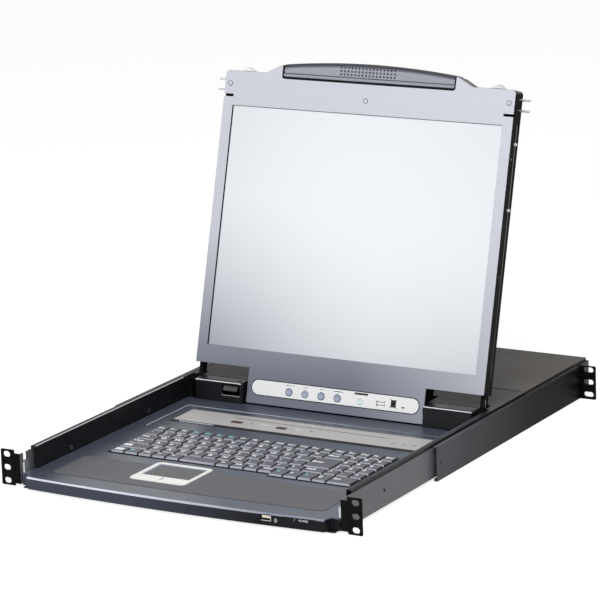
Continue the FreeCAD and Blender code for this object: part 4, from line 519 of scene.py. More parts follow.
# ------------------------------------------------------------------ shaping

def placed(points: Iterable[Point], axis: str, end: float) -> list[Vector]:
    """Gives the points of an outline in space.

    Args:
        points: The outline in the other two axes, in order.
        axis: The axis across which the outline lies: X, Y or Z.
        end: Its place along that axis.

    Returns:
        The points.
    """
    along = "XYZ".index(axis)
    return [Vector((*point[:along], end, *point[along:])) for point in points]


def circle(centre: Point, radius: float, steps: int) -> list[Point]:
    """Gives the points of a circle.

    Args:
        centre: Its centre.
        radius: Its radius.
        steps: How many points it has.

    Returns:
        The points, anticlockwise.
    """
    turns = [math.tau * number / steps for number in range(steps)]
    return [(centre[0] + radius * math.cos(turn), centre[1] + radius * math.sin(turn)) for turn in turns]


class Shape:
    """A bmesh in millimetres, with the operations that shape it."""

    def __init__(self) -> None:
        """Starts empty."""
        self.mesh = bmesh.new()

    def block(self, x: Span, y: Span, z: Span, round_by: float = 0.0, segments: int = 2,
              taper: float = 0.0) -> list[bmesh.types.BMVert]:
        """Adds a block.

        Args:
            x: Its ends across.
            y: Its ends in y.
            z: Its ends in z.
            round_by: Width of the bevel on all of its edges.
            segments: Steps of that bevel.
            taper: How far each side leans in at the top.

        Returns:
            The block's vertices, before the bevel.
        """
        spans = [sorted(span) for span in (x, y, z)]
        centre = Vector([(low + high) / 2 for low, high in spans])
        size = [high - low for low, high in spans]
        place = Matrix.Translation(centre) @ Matrix.Diagonal((*size, 1.0))
        verts = bmesh.ops.create_cube(self.mesh, size=1.0, matrix=place)["verts"]
        if taper:
            for vert in verts:
                if vert.co.z > centre.z:
                    vert.co.x -= math.copysign(taper, vert.co.x - centre.x)
                    vert.co.y -= math.copysign(taper, vert.co.y - centre.y)
        if round_by:
            self.bevel({edge for vert in verts for edge in vert.link_edges}, round_by, segments)
        return verts

    def rod(self, axis: str, centre: Point, radius: float, span: Span, segments: int = 24) -> None:
        """Adds a round bar along an axis.

        Args:
            axis: X, Y or Z.
            centre: Its centre in the other two axes, in order.
            radius: Its radius.
            span: Its two ends.
            segments: Its sides.
        """
        low, high = sorted(span)
        middle = (low + high) / 2
        turns = {"X": Matrix.Rotation(math.pi / 2, 4, "Y"), "Y": Matrix.Rotation(-math.pi / 2, 4, "X"),
                 "Z": Matrix.Identity(4)}
        places = {"X": (middle, *centre), "Y": (centre[0], middle, centre[1]), "Z": (*centre, middle)}
        bmesh.ops.create_cone(self.mesh, cap_ends=True, segments=segments, radius1=radius, radius2=radius,
                              depth=high - low, matrix=Matrix.Translation(places[axis]) @ turns[axis])

    def slab(self, points: Sequence[Point], span: Span, axis: str = "Z") -> None:
        """Extrudes an outline.

        Args:
            points: The outline in the other two axes, in order.
            span: The two ends along the axis.
            axis: X, Y or Z.
        """
        low, high = sorted(span)
        face = self.mesh.faces.new([self.mesh.verts.new(point) for point in placed(points, axis, low)])
        grown = bmesh.ops.extrude_face_region(self.mesh, geom=[face])["geom"]
        last = [item for item in grown if isinstance(item, bmesh.types.BMVert)]
        rise = [0.0, 0.0, 0.0]
        rise["XYZ".index(axis)] = high - low
        bmesh.ops.translate(self.mesh, verts=last, vec=rise)

    def loft(self, loops: Sequence[Sequence[Vector]], closed: bool = True, lid: bool = True) -> None:
        """Joins loops of points in order.

        Args:
            loops: The loops, each with its points in order.
            closed: Whether the last loop is joined to the first.
            lid: Whether the last loop of an open row gets a face, as its first does.
        """
        made = []
        for points in loops:
            verts = [self.mesh.verts.new(point) for point in points]
            made.append([self.mesh.edges.new((verts[i - 1], verts[i])) for i in range(len(verts))])
        for number in range(0 if closed else 1, len(made)):
            bmesh.ops.bridge_loops(self.mesh, edges=made[number - 1] + made[number])
        if not closed:
            for edges in (made[0], made[-1])[:2 if lid else 1]:
                bmesh.ops.edgeloop_fill(self.mesh, edges=edges)

    def ring(self, outer: Sequence[Point], inner: Sequence[Point], span: Span, axis: str = "Z") -> None:
        """Adds a flat ring between two outlines.

        Args:
            outer: The outer outline in the other two axes, in order.
            inner: The inner outline, with as many points.
            span: The two ends along the axis.
            axis: X, Y or Z.
        """
        self.loft([placed(points, axis, end) for points, end in ((outer, span[0]), (outer, span[1]),
                                                                 (inner, span[1]), (inner, span[0]))])

    def tube(self, axis: str, centre: Point, outer: float, inner: float, span: Span,
             segments: int = 24) -> None:
        """Adds a short round tube.

        Args:
            axis: X, Y or Z.
            centre: Its centre in the other two axes, in order.
            outer: Its outer radius.
            inner: Its inner radius.
            span: Its two ends.
            segments: Its sides.
        """
        self.ring(circle(centre, outer, segments), circle(centre, inner, segments), span, axis)

    def lathe(self, profile: Sequence[Point], centre: Point, steps: int = 24) -> None:
        """Spins a profile about a line along z.

        Args:
            profile: Pairs of radius and z, from the axis to the axis.
            centre: The line's x and y.
            steps: Steps of the spin.
        """
        verts = [self.mesh.verts.new((centre[0] + radius, centre[1], z)) for radius, z in profile]
        edges = [self.mesh.edges.new(pair) for pair in zip(verts, verts[1:])]
        bmesh.ops.spin(self.mesh, geom=verts + edges, cent=(*centre, 0.0), axis=(0.0, 0.0, 1.0),
                       angle=math.tau, steps=steps, use_merge=True)

    def bevel(self, edges: Iterable[bmesh.types.BMEdge], width: float, segments: int = 2) -> None:
        """Bevels edges.

        Args:
            edges: The edges.
            width: The bevel's offset.
            segments: Its steps.
        """
        bmesh.ops.bevel(self.mesh, geom=list(edges), offset=width, offset_type="OFFSET", segments=segments,
                        profile=0.5, affect="EDGES", material=-1, clamp_overlap=False)

    def sharp_edges(self, angle: float = 40.0) -> list[bmesh.types.BMEdge]:
        """Gives the edges whose faces meet at more than an angle in degrees."""
        limit = math.radians(angle)
        return [edge for edge in self.mesh.edges
                if len(edge.link_faces) == 2 and edge.calc_face_angle(0.0) > limit]

    def unpainted(self) -> list[bmesh.types.BMFace]:
        """Gives the faces added since the last painting, and counts them as painted from now on."""
        layers = self.mesh.faces.layers.int
        layer = layers.get("painted") or layers.new("painted")
        found = [face for face in self.mesh.faces if not face[layer]]
        for face in found:
            face[layer] = 1
        return found

    def paint(self, index: int) -> None:
        """Gives the faces added since the last painting a material by its number."""
        for face in self.unpainted():
            face.material_index = index

    def paint_where(self, index: int, test: Callable[[Vector, Vector], bool]) -> None:
        """Gives the faces that pass a test a material by its number.

        Args:
            index: The material's number.
            test: A test of a face's middle and normal.
        """
        for face in self.mesh.faces:
            face.normal_update()
            if test(face.calc_center_median(), face.normal):
                face.material_index = index

    def add_mesh(self, mesh: bpy.types.Mesh, place: Matrix) -> None:
        """Adds a copy of a mesh.

        Args:
            mesh: The mesh.
            place: Its matrix into this shape.
        """
        before = len(self.mesh.verts)
        self.mesh.from_mesh(mesh)
        self.mesh.verts.ensure_lookup_table()
        bmesh.ops.transform(self.mesh, matrix=place, verts=self.mesh.verts[before:])

    def finish(self, name: str, body: str, finishes: Sequence[Finish], space: Space = Space.BASE,
               replaces: Sequence[str] = (), slot: str = "", sharp: float = 35.0) -> bpy.types.Object:
        """Makes the piece.

        Args:
            name: The piece's name.
            body: The CAD body that it rides on.
            finishes: Its materials, in the order of the numbers given to paint.
            space: The space that it was modelled in.
            replaces: The CAD nodes that it stands for.
            slot: Not used.
            sharp: Angle in degrees above which an edge stays sharp.

        Returns:
            The finished object.
        """
        bmesh.ops.remove_doubles(self.mesh, verts=self.mesh.verts, dist=0.0004)
        bmesh.ops.recalc_face_normals(self.mesh, faces=self.mesh.faces)
        self.mesh.transform(space.matrix())
        limit = math.radians(sharp)
        for edge in self.mesh.edges:
            edge.smooth = len(edge.link_faces) == 2 and edge.calc_face_angle(0.0) < limit
        for face in self.mesh.faces:
            face.smooth = True
        layer = self.mesh.faces.layers.int.get("painted")
        if layer:
            self.mesh.faces.layers.int.remove(layer)
        open_edges = sum(len(edge.link_faces) != 2 for edge in self.mesh.edges)
        mesh = bpy.data.meshes.new(name)
        self.mesh.to_mesh(mesh)
        self.mesh.free()
        for each in finishes:
            mesh.materials.append(each.material())
        made = bpy.data.objects.new(name, mesh)
        bpy.context.scene.collection.objects.link(made)
        normals = made.modifiers.new("weighted", "WEIGHTED_NORMAL")
        normals.keep_sharp = True
        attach(made, body)
        if replaces:
            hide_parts(*replaces)
        log.info("%s: %d faces, %d open edges", name, len(mesh.polygons), open_edges)
        return made


def rounded_rectangle(x: Span, y: Span, radius: float, steps: int = 6) -> list[Point]:
    """Gives the outline of a rectangle with round corners, anticlockwise.

    Args:
        x: Its ends across.
        y: Its ends up.
        radius: Radius of the corners.
        steps: Steps of each corner.

    Returns:
        The points.
    """
    corners = [(x[1] - radius, y[0] + radius, -90), (x[1] - radius, y[1] - radius, 0),
               (x[0] + radius, y[1] - radius, 90), (x[0] + radius, y[0] + radius, 180)]
    points = []
    for cx, cy, start in corners:
        for step in range(steps + 1):
            angle = math.radians(start + 90 * step / steps)
            points.append((cx + radius * math.cos(angle), cy + radius * math.sin(angle)))
    return points


def node_shape(node: str, width: float, segments: int = 2, angle: float = 40.0, space: Space = Space.BASE,
               where: Callable[[Vector], bool] | None = None) -> Shape:
    """Copies a CAD node, merges its triangles and softens its edges.

    Args:
        node: The CAD node.
        width: Width of the bevels.
        segments: Steps of the bevels.
        angle: Edges above this angle in degrees are bevelled.
        space: The space to model in.
        where: A test of an edge's middle, if only some edges are softened.

    Returns:
        The shape.
    """
    shape = Shape()
    shape.mesh.from_mesh(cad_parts[node].data)
    shape.mesh.transform(space.matrix().inverted())
    bmesh.ops.remove_doubles(shape.mesh, verts=shape.mesh.verts, dist=0.002)
    bmesh.ops.dissolve_degenerate(shape.mesh, edges=shape.mesh.edges, dist=0.001)
    bmesh.ops.dissolve_limit(shape.mesh, angle_limit=math.radians(0.2), verts=shape.mesh.verts,
                             edges=shape.mesh.edges)
    for face in shape.mesh.faces:
        face.material_index = 0
    if width:
        edges = shape.sharp_edges(angle)
        if where:
            edges = [edge for edge in edges if where((edge.verts[0].co + edge.verts[1].co) / 2)]
        shape.bevel(edges, width, segments)
    shape.paint(0)
    return shape


LETTERS: dict[tuple[str, float, float, float], bpy.types.Mesh] = {}


def lettering(text: str, size: float, depth: float, weight: float = 0.035) -> bpy.types.Mesh:
    """Makes thin raised lettering about the origin.

    Args:
        text: The letters.
        size: Their height in millimetres.
        depth: Their thickness in millimetres.
        weight: How much their strokes grow, as a share of their height.

    Returns:
        The mesh.
    """
    key = (text, size, depth, weight)
    if key not in LETTERS:
        curve = bpy.data.curves.new("letters", "FONT")
        curve.body = text
        curve.size = size
        curve.extrude = depth / 2
        curve.offset = size * weight
        curve.align_x = "LEFT"
        curve.align_y = "CENTER"
        curve.resolution_u = 2
        holder = bpy.data.objects.new("letters", curve)
        bpy.context.scene.collection.objects.link(holder)
        graph = bpy.context.evaluated_depsgraph_get()
        LETTERS[key] = bpy.data.meshes.new_from_object(holder.evaluated_get(graph))
        bpy.data.objects.remove(holder)
        bpy.data.curves.remove(curve)
    return LETTERS[key]


class Assembly:
    """A sub-assembly of the object."""

    def dress(self, finish: Finish, *nodes: str) -> None:
        """Gives CAD nodes a finish.

        Args:
            finish: The finish.
            *nodes: The nodes' names.
        """
        made = finish.material()
        for name in nodes:
            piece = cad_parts[name]
            if not piece.data.materials:
                piece.data.materials.append(made)
            for place in piece.material_slots:
                place.material = made
            log.info("%s: finish %s", name, finish.name)

    def soften(self, node: str, body: str, finish: Finish, slot: str, width: float = 0.3,
               **settings: object) -> bpy.types.Object:
        """Puts a softened copy in the place of a CAD node.

        Args:
            node: The CAD node.
            body: The body that it rides on.
            finish: Its finish.
            slot: Not used; it is passed on to Shape.finish, which does not read it.
            width: Width of the bevels.
            **settings: Further arguments of node_shape.

        Returns:
            The new piece.
        """
        shape = node_shape(node, width, **settings)
        space = settings.get("space", Space.BASE)
        return shape.finish(f"{node}_dressed", body, [finish], space, [node], slot)


@dataclass
class Chassis(Assembly):
    """The outer rails, the rack ears, the rear brackets and the slides."""

    ear_thickness: float = 2.0
    rail_inner: float = 214.0
    wall_outer: float = 209.2
    bracket_rear: float = 600.0
    rail_top: float = 44.0
    member_front: float = 18.0
    end_y: Span = (3.0, 5.0)
    end_z: Span = (12.2, 29.8)
    edge_round: float = 0.3

    def rails(self) -> None:
        """Dresses the rails: sides painted grey as a sheen that fades to black towards the rear, painted
        highlights along the tops, and black ears.
        """
        for side in ("left", "right"):
            shape = node_shape(f"rail_{side}", self.edge_round)
            # The top faces get the painted highlight.
            shape.paint_where(2, lambda centre, normal: normal.z > 0.3 and centre.z > self.rail_top - 0.6)
            shape.paint_where(1, lambda centre, normal: centre.y < self.ear_thickness + 0.4)
            shape.finish(f"rail_{side}_dressed", "chassis", [Finishes.RAIL_PAINTED_SHEEN, Finishes.BLACK_STEEL,
                                                             Finishes.RAIL_EDGE_HIGHLIGHT], replaces=[f"rail_{side}"],
                         slot="black_steel")

    def brackets(self) -> None:
        """Dresses the rear brackets, painted grey as a sheen that fades to black towards the rear, and the
        guides that they slide in.
        """
        for side in ("left", "right"):
            shape = node_shape(f"rear_bracket_{side}", self.edge_round)
            shape.paint_where(1, lambda centre, normal: centre.y > self.bracket_rear - 1.0)
            shape.finish(f"rear_bracket_{side}_dressed", f"rear_bracket_{side}",
                         [Finishes.BRACKET_PAINTED_SHEEN, Finishes.BLACK_STEEL], replaces=[f"rear_bracket_{side}"],
                         slot="black_steel")
        self.dress(Finishes.BLACK_STEEL, "bracket_guides")

    def slides(self) -> None:
        """Dresses the sliding members and adds the bright end of each."""
        self.dress(Finishes.SLIDE_STEEL, "slide_member_left", "slide_member_right")
        for side, name in ((-1, "left"), (1, "right")):
            end = Shape()
            inner = side * (self.wall_outer + 0.4)
            outer = side * (self.rail_inner - 0.1)
            end.block((inner, outer), self.end_y, self.end_z, 0.25)
            end.block((outer - side * 1.0, outer), (self.end_y[0], self.member_front + 0.5), self.end_z, 0.2)
            end.finish(f"slide_end_{name}", f"slide_{name}", [Finishes.ZINC], slot="zinc_steel")

    def build(self) -> None:
        """Builds every piece of the chassis."""
        self.rails()
        self.brackets()
        self.slides()


@dataclass
class SwitchModule(Assembly):
    """The case behind the drawer, with its sockets, inlet and rocker."""

    rear: float = 635.0
    port_first: float = -176.0
    port_pitch: float = 24.5
    port_count: int = 8
    port_z: float = 17.5
    port_reach: float = 6.0
    console_first: float = 24.0
    console_pitch: float = 19.0
    console_z: float = 17.0
    console_reach: float = 3.0

    def case(self) -> None:
        """Dresses the sheet-metal case."""
        self.soften("kvm_cover", "chassis", Finishes.COVER_STEEL, "dark_cover", 0.35)
        self.dress(Finishes.BLACK_STEEL, "kvm_case", "rear_panel")

    def computer_ports(self) -> None:
        """Adds the pin blocks and hexagonal posts of the computer ports."""
        self.dress(Finishes.PORT_STEEL, "port_connectors")
        inserts = Shape()
        posts = Shape()
        tip = self.rear + self.port_reach
        for number in range(self.port_count):
            x = self.port_first + number * self.port_pitch
            inserts.slab(self.shell_outline(x, 6.6, 3.1), (tip - 3.2, tip - 1.3), "Y")
            inserts.paint(0)
            for row in range(3):
                for pin in range(5):
                    place = (x + (pin - 2) * 2.1 + (row - 1) * 0.5, self.port_z + (1 - row) * 1.8)
                    inserts.rod("Y", place, 0.42, (tip - 1.4, tip - 1.2), 8)
            # The pin holes get the painted shade.
            inserts.paint(1)
            for side in (-1, 1):
                place = (x + side * 10.1, self.port_z)
                posts.rod("Y", place, 1.6, (self.rear + 0.2, tip - 1.4), 6)
                posts.rod("Y", place, 0.8, (tip - 1.5, tip - 1.3), 12)
        inserts.finish("computer_port_inserts", "chassis", [Finishes.PORT_BLUE, Finishes.GAP_SHADE],
                       slot="port_blue")
        posts.finish("computer_port_posts", "chassis", [Finishes.ZINC], slot="zinc_steel")

    def shell_outline(self, x: float, half_width: float, half_height: float) -> list[Point]:
        """Gives the D outline of a port.

        Args:
            x: The port's centre.
            half_width: Half of its width.
            half_height: Half of its height.

        Returns:
            The outline's points.
        """
        low = self.port_z - half_height
        high = self.port_z + half_height
        return [(x - half_width + 1.2, low), (x + half_width - 1.2, low), (x + half_width, low + 1.6),
                (x + half_width, high), (x - half_width, high), (x - half_width, low + 1.6)]

    def console_ports(self) -> None:
        """Adds the faces of the console ports: two round sockets and two flat ones."""
        self.dress(Finishes.PORT_BLACK, "console_ports")
        face = self.rear + self.console_reach
        rounds = Shape()
        for number in range(2):
            centre = (self.console_first + number * self.console_pitch, self.console_z)
            rounds.tube("Y", centre, 6.4, 5.0, (face - 0.6, face + 0.6), 32)
            rounds.paint(number)
            for pin in range(6):
                turn = math.radians(60 * pin + 30)
                place = (centre[0] + 2.9 * math.cos(turn), centre[1] + 2.9 * math.sin(turn))
                rounds.rod("Y", place, 0.5, (face - 0.1, face + 0.08), 10)
            rounds.paint(2)
        rounds.finish("console_round_ports", "chassis", [Finishes.KEY_PURPLE, Finishes.MOUSE_GREEN,
                                                         Finishes.BRASS_PIN], slot="port_black")
        flats = Shape()
        for number in range(2, 4):
            x = self.console_first + number * self.console_pitch
            outer = rounded_rectangle((x - 6.4, x + 6.4), (self.console_z - 3.4, self.console_z + 3.4), 0.8)
            inner = rounded_rectangle((x - 5.8, x + 5.8), (self.console_z - 2.8, self.console_z + 2.8), 0.5)
            flats.ring(outer, inner, (face - 0.2, face + 0.5), "Y")
            flats.paint(0)
            flats.block((x - 5.0, x + 5.0), (face - 0.1, face + 0.3),
                        (self.console_z + 0.2, self.console_z + 1.9), 0.1, 1)
            flats.paint(1)
        flats.finish("console_flat_ports", "chassis", [Finishes.PORT_STEEL, Finishes.PORT_BLACK],
                     slot="socket_steel")

    def power_entry(self) -> None:
        """Dresses the mains inlet and the rocker."""
        self.soften("mains_inlet", "chassis", Finishes.PORT_BLACK, "port_black", 0.2)
        self.soften("power_rocker", "power_rocker", Finishes.PORT_BLACK, "port_black", 0.25)

    def build(self) -> None:
        """Builds every piece of the module."""
        self.case()
        self.computer_ports()
        self.console_ports()
        self.power_entry()
        self.dress(Finishes.BOARD, "kvm_board")
        self.dress(Finishes.ZINC, "power_supply")


@dataclass
class Drawer(Assembly):
    """The sliding drawer: walls, pan, deck, tray, palm plate and hinge covers."""

    tray_top: float = 17.2
    bead_x: float = 185.5
    bead_front: float = 229.0
    bead_rear: float = 325.0
    bead_width: float = 1.0
    wall_inner: float = 208.0
    rivet_y: Span = (98.2, 270.5)
    rivet_z: float = 22.5
    block_front: float = 356.0
    fascia_half: float = 198.4
    fascia_end: float = -10.4
    fascia_bow: float = 6.6
    lamp_x: float = 161.4
    lamp_z: float = 13.0
    lamp_front: float = -13.0
    highlight_y: Span = (25.0, 352.0)
    wall_top: float = 44.0
    deck_rear: float = 461.0
    deck_top: float = 43.5
    lip: tuple[Point, ...] = ((1.0, -2.0), (-0.02, -1.9), (-0.14, -1.5), (-0.14, -0.6), (0.08, -0.12),
                              (0.5, 0.1), (2.0, 0.12), (2.1, -0.4))
    word_x: float = 173.0
    word_z: float = 12.9
    word_size: float = 3.4
    sign_x: float = 138.2
    socket_mouth_shade: tuple[Span, Span, Span] = ((119.2, 131.3), (-13.6, -10.0), (8.9, 15.0))
    socket_tongue: tuple[Span, Span, Span] = ((121.4, 131.4), (-14.5, -10.0), (11.6, 14.6))
    socket_steel: tuple[tuple[Span, Span], ...] = (((120.0, 132.8), (8.0, 8.9)),
                                                   ((131.9, 132.9), (8.0, 15.6)))

    def walls(self) -> None:
        """Dresses the steel of the drawer and adds painted highlights along the wall tops and a painted
        shade line at the back of the deck.
        """
        for side in ("left", "right"):
            self.soften(f"drawer_wall_{side}", "drawer", Finishes.WALL_STEEL, "black_steel", 0.25)
        self.soften("rear_deck", "drawer", Finishes.DECK_STEEL, "black_steel", 0.35)
        self.dress(Finishes.WALL_STEEL, "drawer_pan")
        highlights_and_shade = Shape()
        # Pale strips along the wall tops: painted highlights.
        for side in (-1, 1):
            highlights_and_shade.block((side * (self.wall_inner - 0.06), side * (self.wall_inner + 0.9)), self.highlight_y,
                       (self.wall_top - 0.8, self.wall_top + 0.06), 0.1)
        highlights_and_shade.paint(0)
        # A black strip at the back of the deck: painted shade in the gap there.
        highlights_and_shade.block((2.0 - self.wall_inner, self.wall_inner - 2.0),
                   (self.deck_rear - 1.3, self.deck_rear + 0.05),
                   (self.deck_top - 0.6, self.deck_top + 0.05))
        highlights_and_shade.paint(1)
        highlights_and_shade.finish("wall_highlights_and_deck_shade", "drawer", [Finishes.RAIL_EDGE_HIGHLIGHT, Finishes.GAP_SHADE], slot="black_steel")
        self.dress(Finishes.BLACK_STEEL, "hinge_brackets")

    def rivets(self) -> None:
        """Adds the bright rivets on the inside of each wall."""
        shape = Shape()
        for side in (-1, 1):
            for y in self.rivet_y:
                shape.tube("X", (y, self.rivet_z), 2.3, 1.9,
                           (side * (self.wall_inner - 0.5), side * (self.wall_inner + 0.2)))
        shape.finish("wall_rivets", "drawer", [Finishes.ZINC], slot="zinc_steel")

    def tray(self) -> None:
        """Dresses the moulded tray, its front painted darker towards the right as shade, and adds the bead
        around its back, painted as a highlight with a shade line beside it.
        """
        tray = node_shape("keyboard_tray", 0.5, 3)
        # The front faces get the painted shade.
        tray.paint_where(1, lambda centre, normal: centre.y < 6.0 and normal.z < 0.3)
        tray.finish("keyboard_tray_dressed", "drawer", [Finishes.TRAY, Finishes.FASCIA_SHADED],
                    replaces=["keyboard_tray"], slot="tray_blue")
        self.soften("palm_plate", "drawer", Finishes.PALM, "palm_grey", 0.2)
        self.dress(Finishes.WELL, "keyboard_base")
        bead = Shape()
        # The bead is painted pale as a highlight, and the low strip beside it dark as shade.
        for offset, rise in ((0.0, 0.5), (1.1, 0.06)):
            x = self.bead_x - offset
            rear = self.bead_rear - offset
            outline = [(-x, self.bead_front), (-x, rear), (x, rear), (x, self.bead_front)]
            half = self.bead_width / 2
            inner = [(u - math.copysign(half, u), v - (half if v == rear else 0.0)) for u, v in outline]
            outer = [(u + math.copysign(half, u), v + (half if v == rear else 0.0)) for u, v in outline]
            bead.slab(outer + inner[::-1], (self.tray_top - 0.2, self.tray_top + rise))
            bead.paint(0 if rise > 0.1 else 1)
        bead.finish("tray_bead_highlight_and_shade", "drawer", [Finishes.RIDGE_HIGHLIGHT, Finishes.FASCIA_SHADED], slot="tray_blue")

    def ridge(self) -> None:
        """Adds the rounded lip along the top of the tray's front, painted pale as a highlight that dulls
        towards the right.
        """
        shape = Shape()
        steps = 60
        loops = []
        for number in range(steps + 1):
            x = self.fascia_half * (2 * number / steps - 1.0)
            y = self.fascia_face(x)
            loops.append([Vector((x, y + back, self.tray_top + rise)) for back, rise in self.lip])
        shape.loft(loops, closed=False)
        shape.finish("tray_ridge_highlight", "drawer", [Finishes.RIDGE_HIGHLIGHT], slot="tray_blue")

    def fascia_face(self, x: float) -> float:
        """Gives where the bowed front of the tray stands at a place across."""
        return self.fascia_end - self.fascia_bow * (1.0 - (x / self.fascia_half) ** 2)

    def fascia_marks(self) -> None:
        """Prints a pointing device beside the socket and a word beside the lamp."""
        shape = Shape()
        x = self.sign_x
        y = self.fascia_face(x)
        outline = rounded_rectangle((x - 1.6, x + 1.6), (7.4, 12.0), 1.5, 5)
        inner = rounded_rectangle((x - 1.0, x + 1.0), (8.0, 11.4), 0.9, 5)
        shape.ring(outline, inner, (y + 0.2, y - 0.12), "Y")
        shape.block((x - 0.15, x + 0.15), (y - 0.12, y + 0.2), (9.6, 11.2))
        word = lettering("POWER", self.word_size, 0.2, 0.0)
        half = max(vert.co.x for vert in word.vertices) / 2
        turn = math.atan(2 * self.fascia_bow * self.word_x / self.fascia_half ** 2)
        stand = Matrix.Translation((self.word_x, self.fascia_face(self.word_x) - 0.06, self.word_z)) \
            @ Matrix.Rotation(turn, 4, "Z") @ Matrix.Rotation(math.pi / 2, 4, "X")
        shape.add_mesh(word, stand @ Matrix.Translation((-half, 0.0, 0.0)))
        shape.finish("fascia_print", "drawer", [Finishes.LEGEND], slot="base_black")

    def front(self) -> None:
        """Dresses the socket and lamp in the fascia."""
        socket = node_shape("usb_socket", 0.12)
        # The socket is painted black as shade in its mouth and on its shaded top and left; steel shows only
        # in strips along the lit bottom and right edges.
        socket.paint_where(2, lambda centre, normal: True)
        socket.block(*self.socket_mouth_shade)
        socket.paint(2)
        socket.block(*self.socket_tongue)
        socket.paint(1)
        for x, z in self.socket_steel:
            socket.block(x, (-14.68, -14.0), z, 0.1, 1)
        socket.paint(0)
        socket.finish("usb_socket_dressed", "drawer", [Finishes.PORT_STEEL, Finishes.SOCKET_TONGUE,
                                                       Finishes.GAP_SHADE], replaces=["usb_socket"],
                      slot="socket_steel")
        lamp = Shape()
        lamp.lathe([(0.0, 11.0), (1.55, 11.0), (1.55, 0.5), (1.2, 0.15), (0.0, 0.0)], (0.0, 0.0), 20)
        turn = Matrix.Translation((self.lamp_x, self.lamp_front, self.lamp_z)) @ \
            Matrix.Rotation(-math.pi / 2, 4, "X")
        bmesh.ops.transform(lamp.mesh, matrix=turn, verts=lamp.mesh.verts)
        lamp.finish("power_led_dressed", "drawer", [Finishes.LAMP], replaces=["power_led"],
                    slot="lamp_green")

    def hinge_covers(self) -> None:
        """Dresses the two hinge covers, with a painted highlight on their top front edges, and the thumb
        lever.
        """
        for side in ("left", "right"):
            cover = node_shape(f"hinge_cover_{side}", 1.4, 3)
            cover.paint_where(1, lambda centre, normal: centre.y < self.block_front + 1.0
                              and -0.9 < normal.y < -0.2 and normal.z > 0.3)
            cover.finish(f"hinge_cover_{side}_dressed", "drawer", [Finishes.BLOCK, Finishes.BLOCK_EDGE_HIGHLIGHT],
                         replaces=[f"hinge_cover_{side}"], slot="base_black")
        self.soften("release_lever", "release_lever", Finishes.LEVER, "base_black", 0.2)

    def build(self) -> None:
        """Builds every piece of the drawer."""
        self.walls()
        self.rivets()
        self.tray()
        self.ridge()
        self.front()
        self.fascia_marks()
        self.hinge_covers()
        self.dress(Finishes.BOARD, "controller_board")


@dataclass(frozen=True)
class KeyRow:
    """One row of keys.

    Attributes:
        name: The row's name.
        index: Its number from the front.
        widths: Widths of its keys in key pitches.
        legends: What is printed on each key.
        teal: Numbers of the keys whose print is teal.
        size: Height of a single letter.
    """

    name: str
    index: int
    widths: tuple[float, ...]
    legends: tuple[str, ...]
    teal: tuple[int, ...] = ()
    size: float = 9.0


PAD_WIDTHS = (0.917,) * 3
ARROW_WIDTHS = (1.0, 1.0, 1.0, 1.0, 1.7)

KEY_ROWS = (
    KeyRow("space", 0, (1.0,) * 5 + (2.62,) + (1.0,) * 4,
           ("box", "Fn", "Alt", "~", "<", "", ">", "Alt", "=", "Ctrl", "<", "v", ">", "0", "Ent"),
           (1, 10, 12)),
    KeyRow("lower", 1, (2.09,) + (1.0,) * 11 + (1.52,) + (0.907,) * 3,
           ("box", "Z", "X", "C", "V", "B", "N", "M", ",", ".", "/", "\\", "Shift", "^", ".", "+")),
    KeyRow("home", 2, (1.66,) + (1.0,) * 11 + (1.92,) + PAD_WIDTHS,
           ("Caps", "A", "S", "D", "F", "G", "H", "J", "K", "L", ";", "'", "Enter", "1", "2", "3")),
    KeyRow("upper", 3, (1.41,) + (1.0,) * 10 + (1.25,),
           ("Tab", "Q", "W", "E", "R", "T", "Y", "U", "I", "O", "P", "[", "4", "5", "6")),
    KeyRow("number", 4, (1.0,) * 13 + (1.58,) + PAD_WIDTHS,
           ("`", "1", "2", "3", "4", "5", "6", "7", "8", "9", "0", "-", "=", "Back", "7", "8", "9")),
    KeyRow("function", 5, (0.8661,) * 20,
           ("Esc", *(f"F{number}" for number in range(1, 13)),
            "Prt", "Scr", "Pau", "Ins", "Del", "Pg", "End"), (3, 4, 5, 6), 8.6),
)


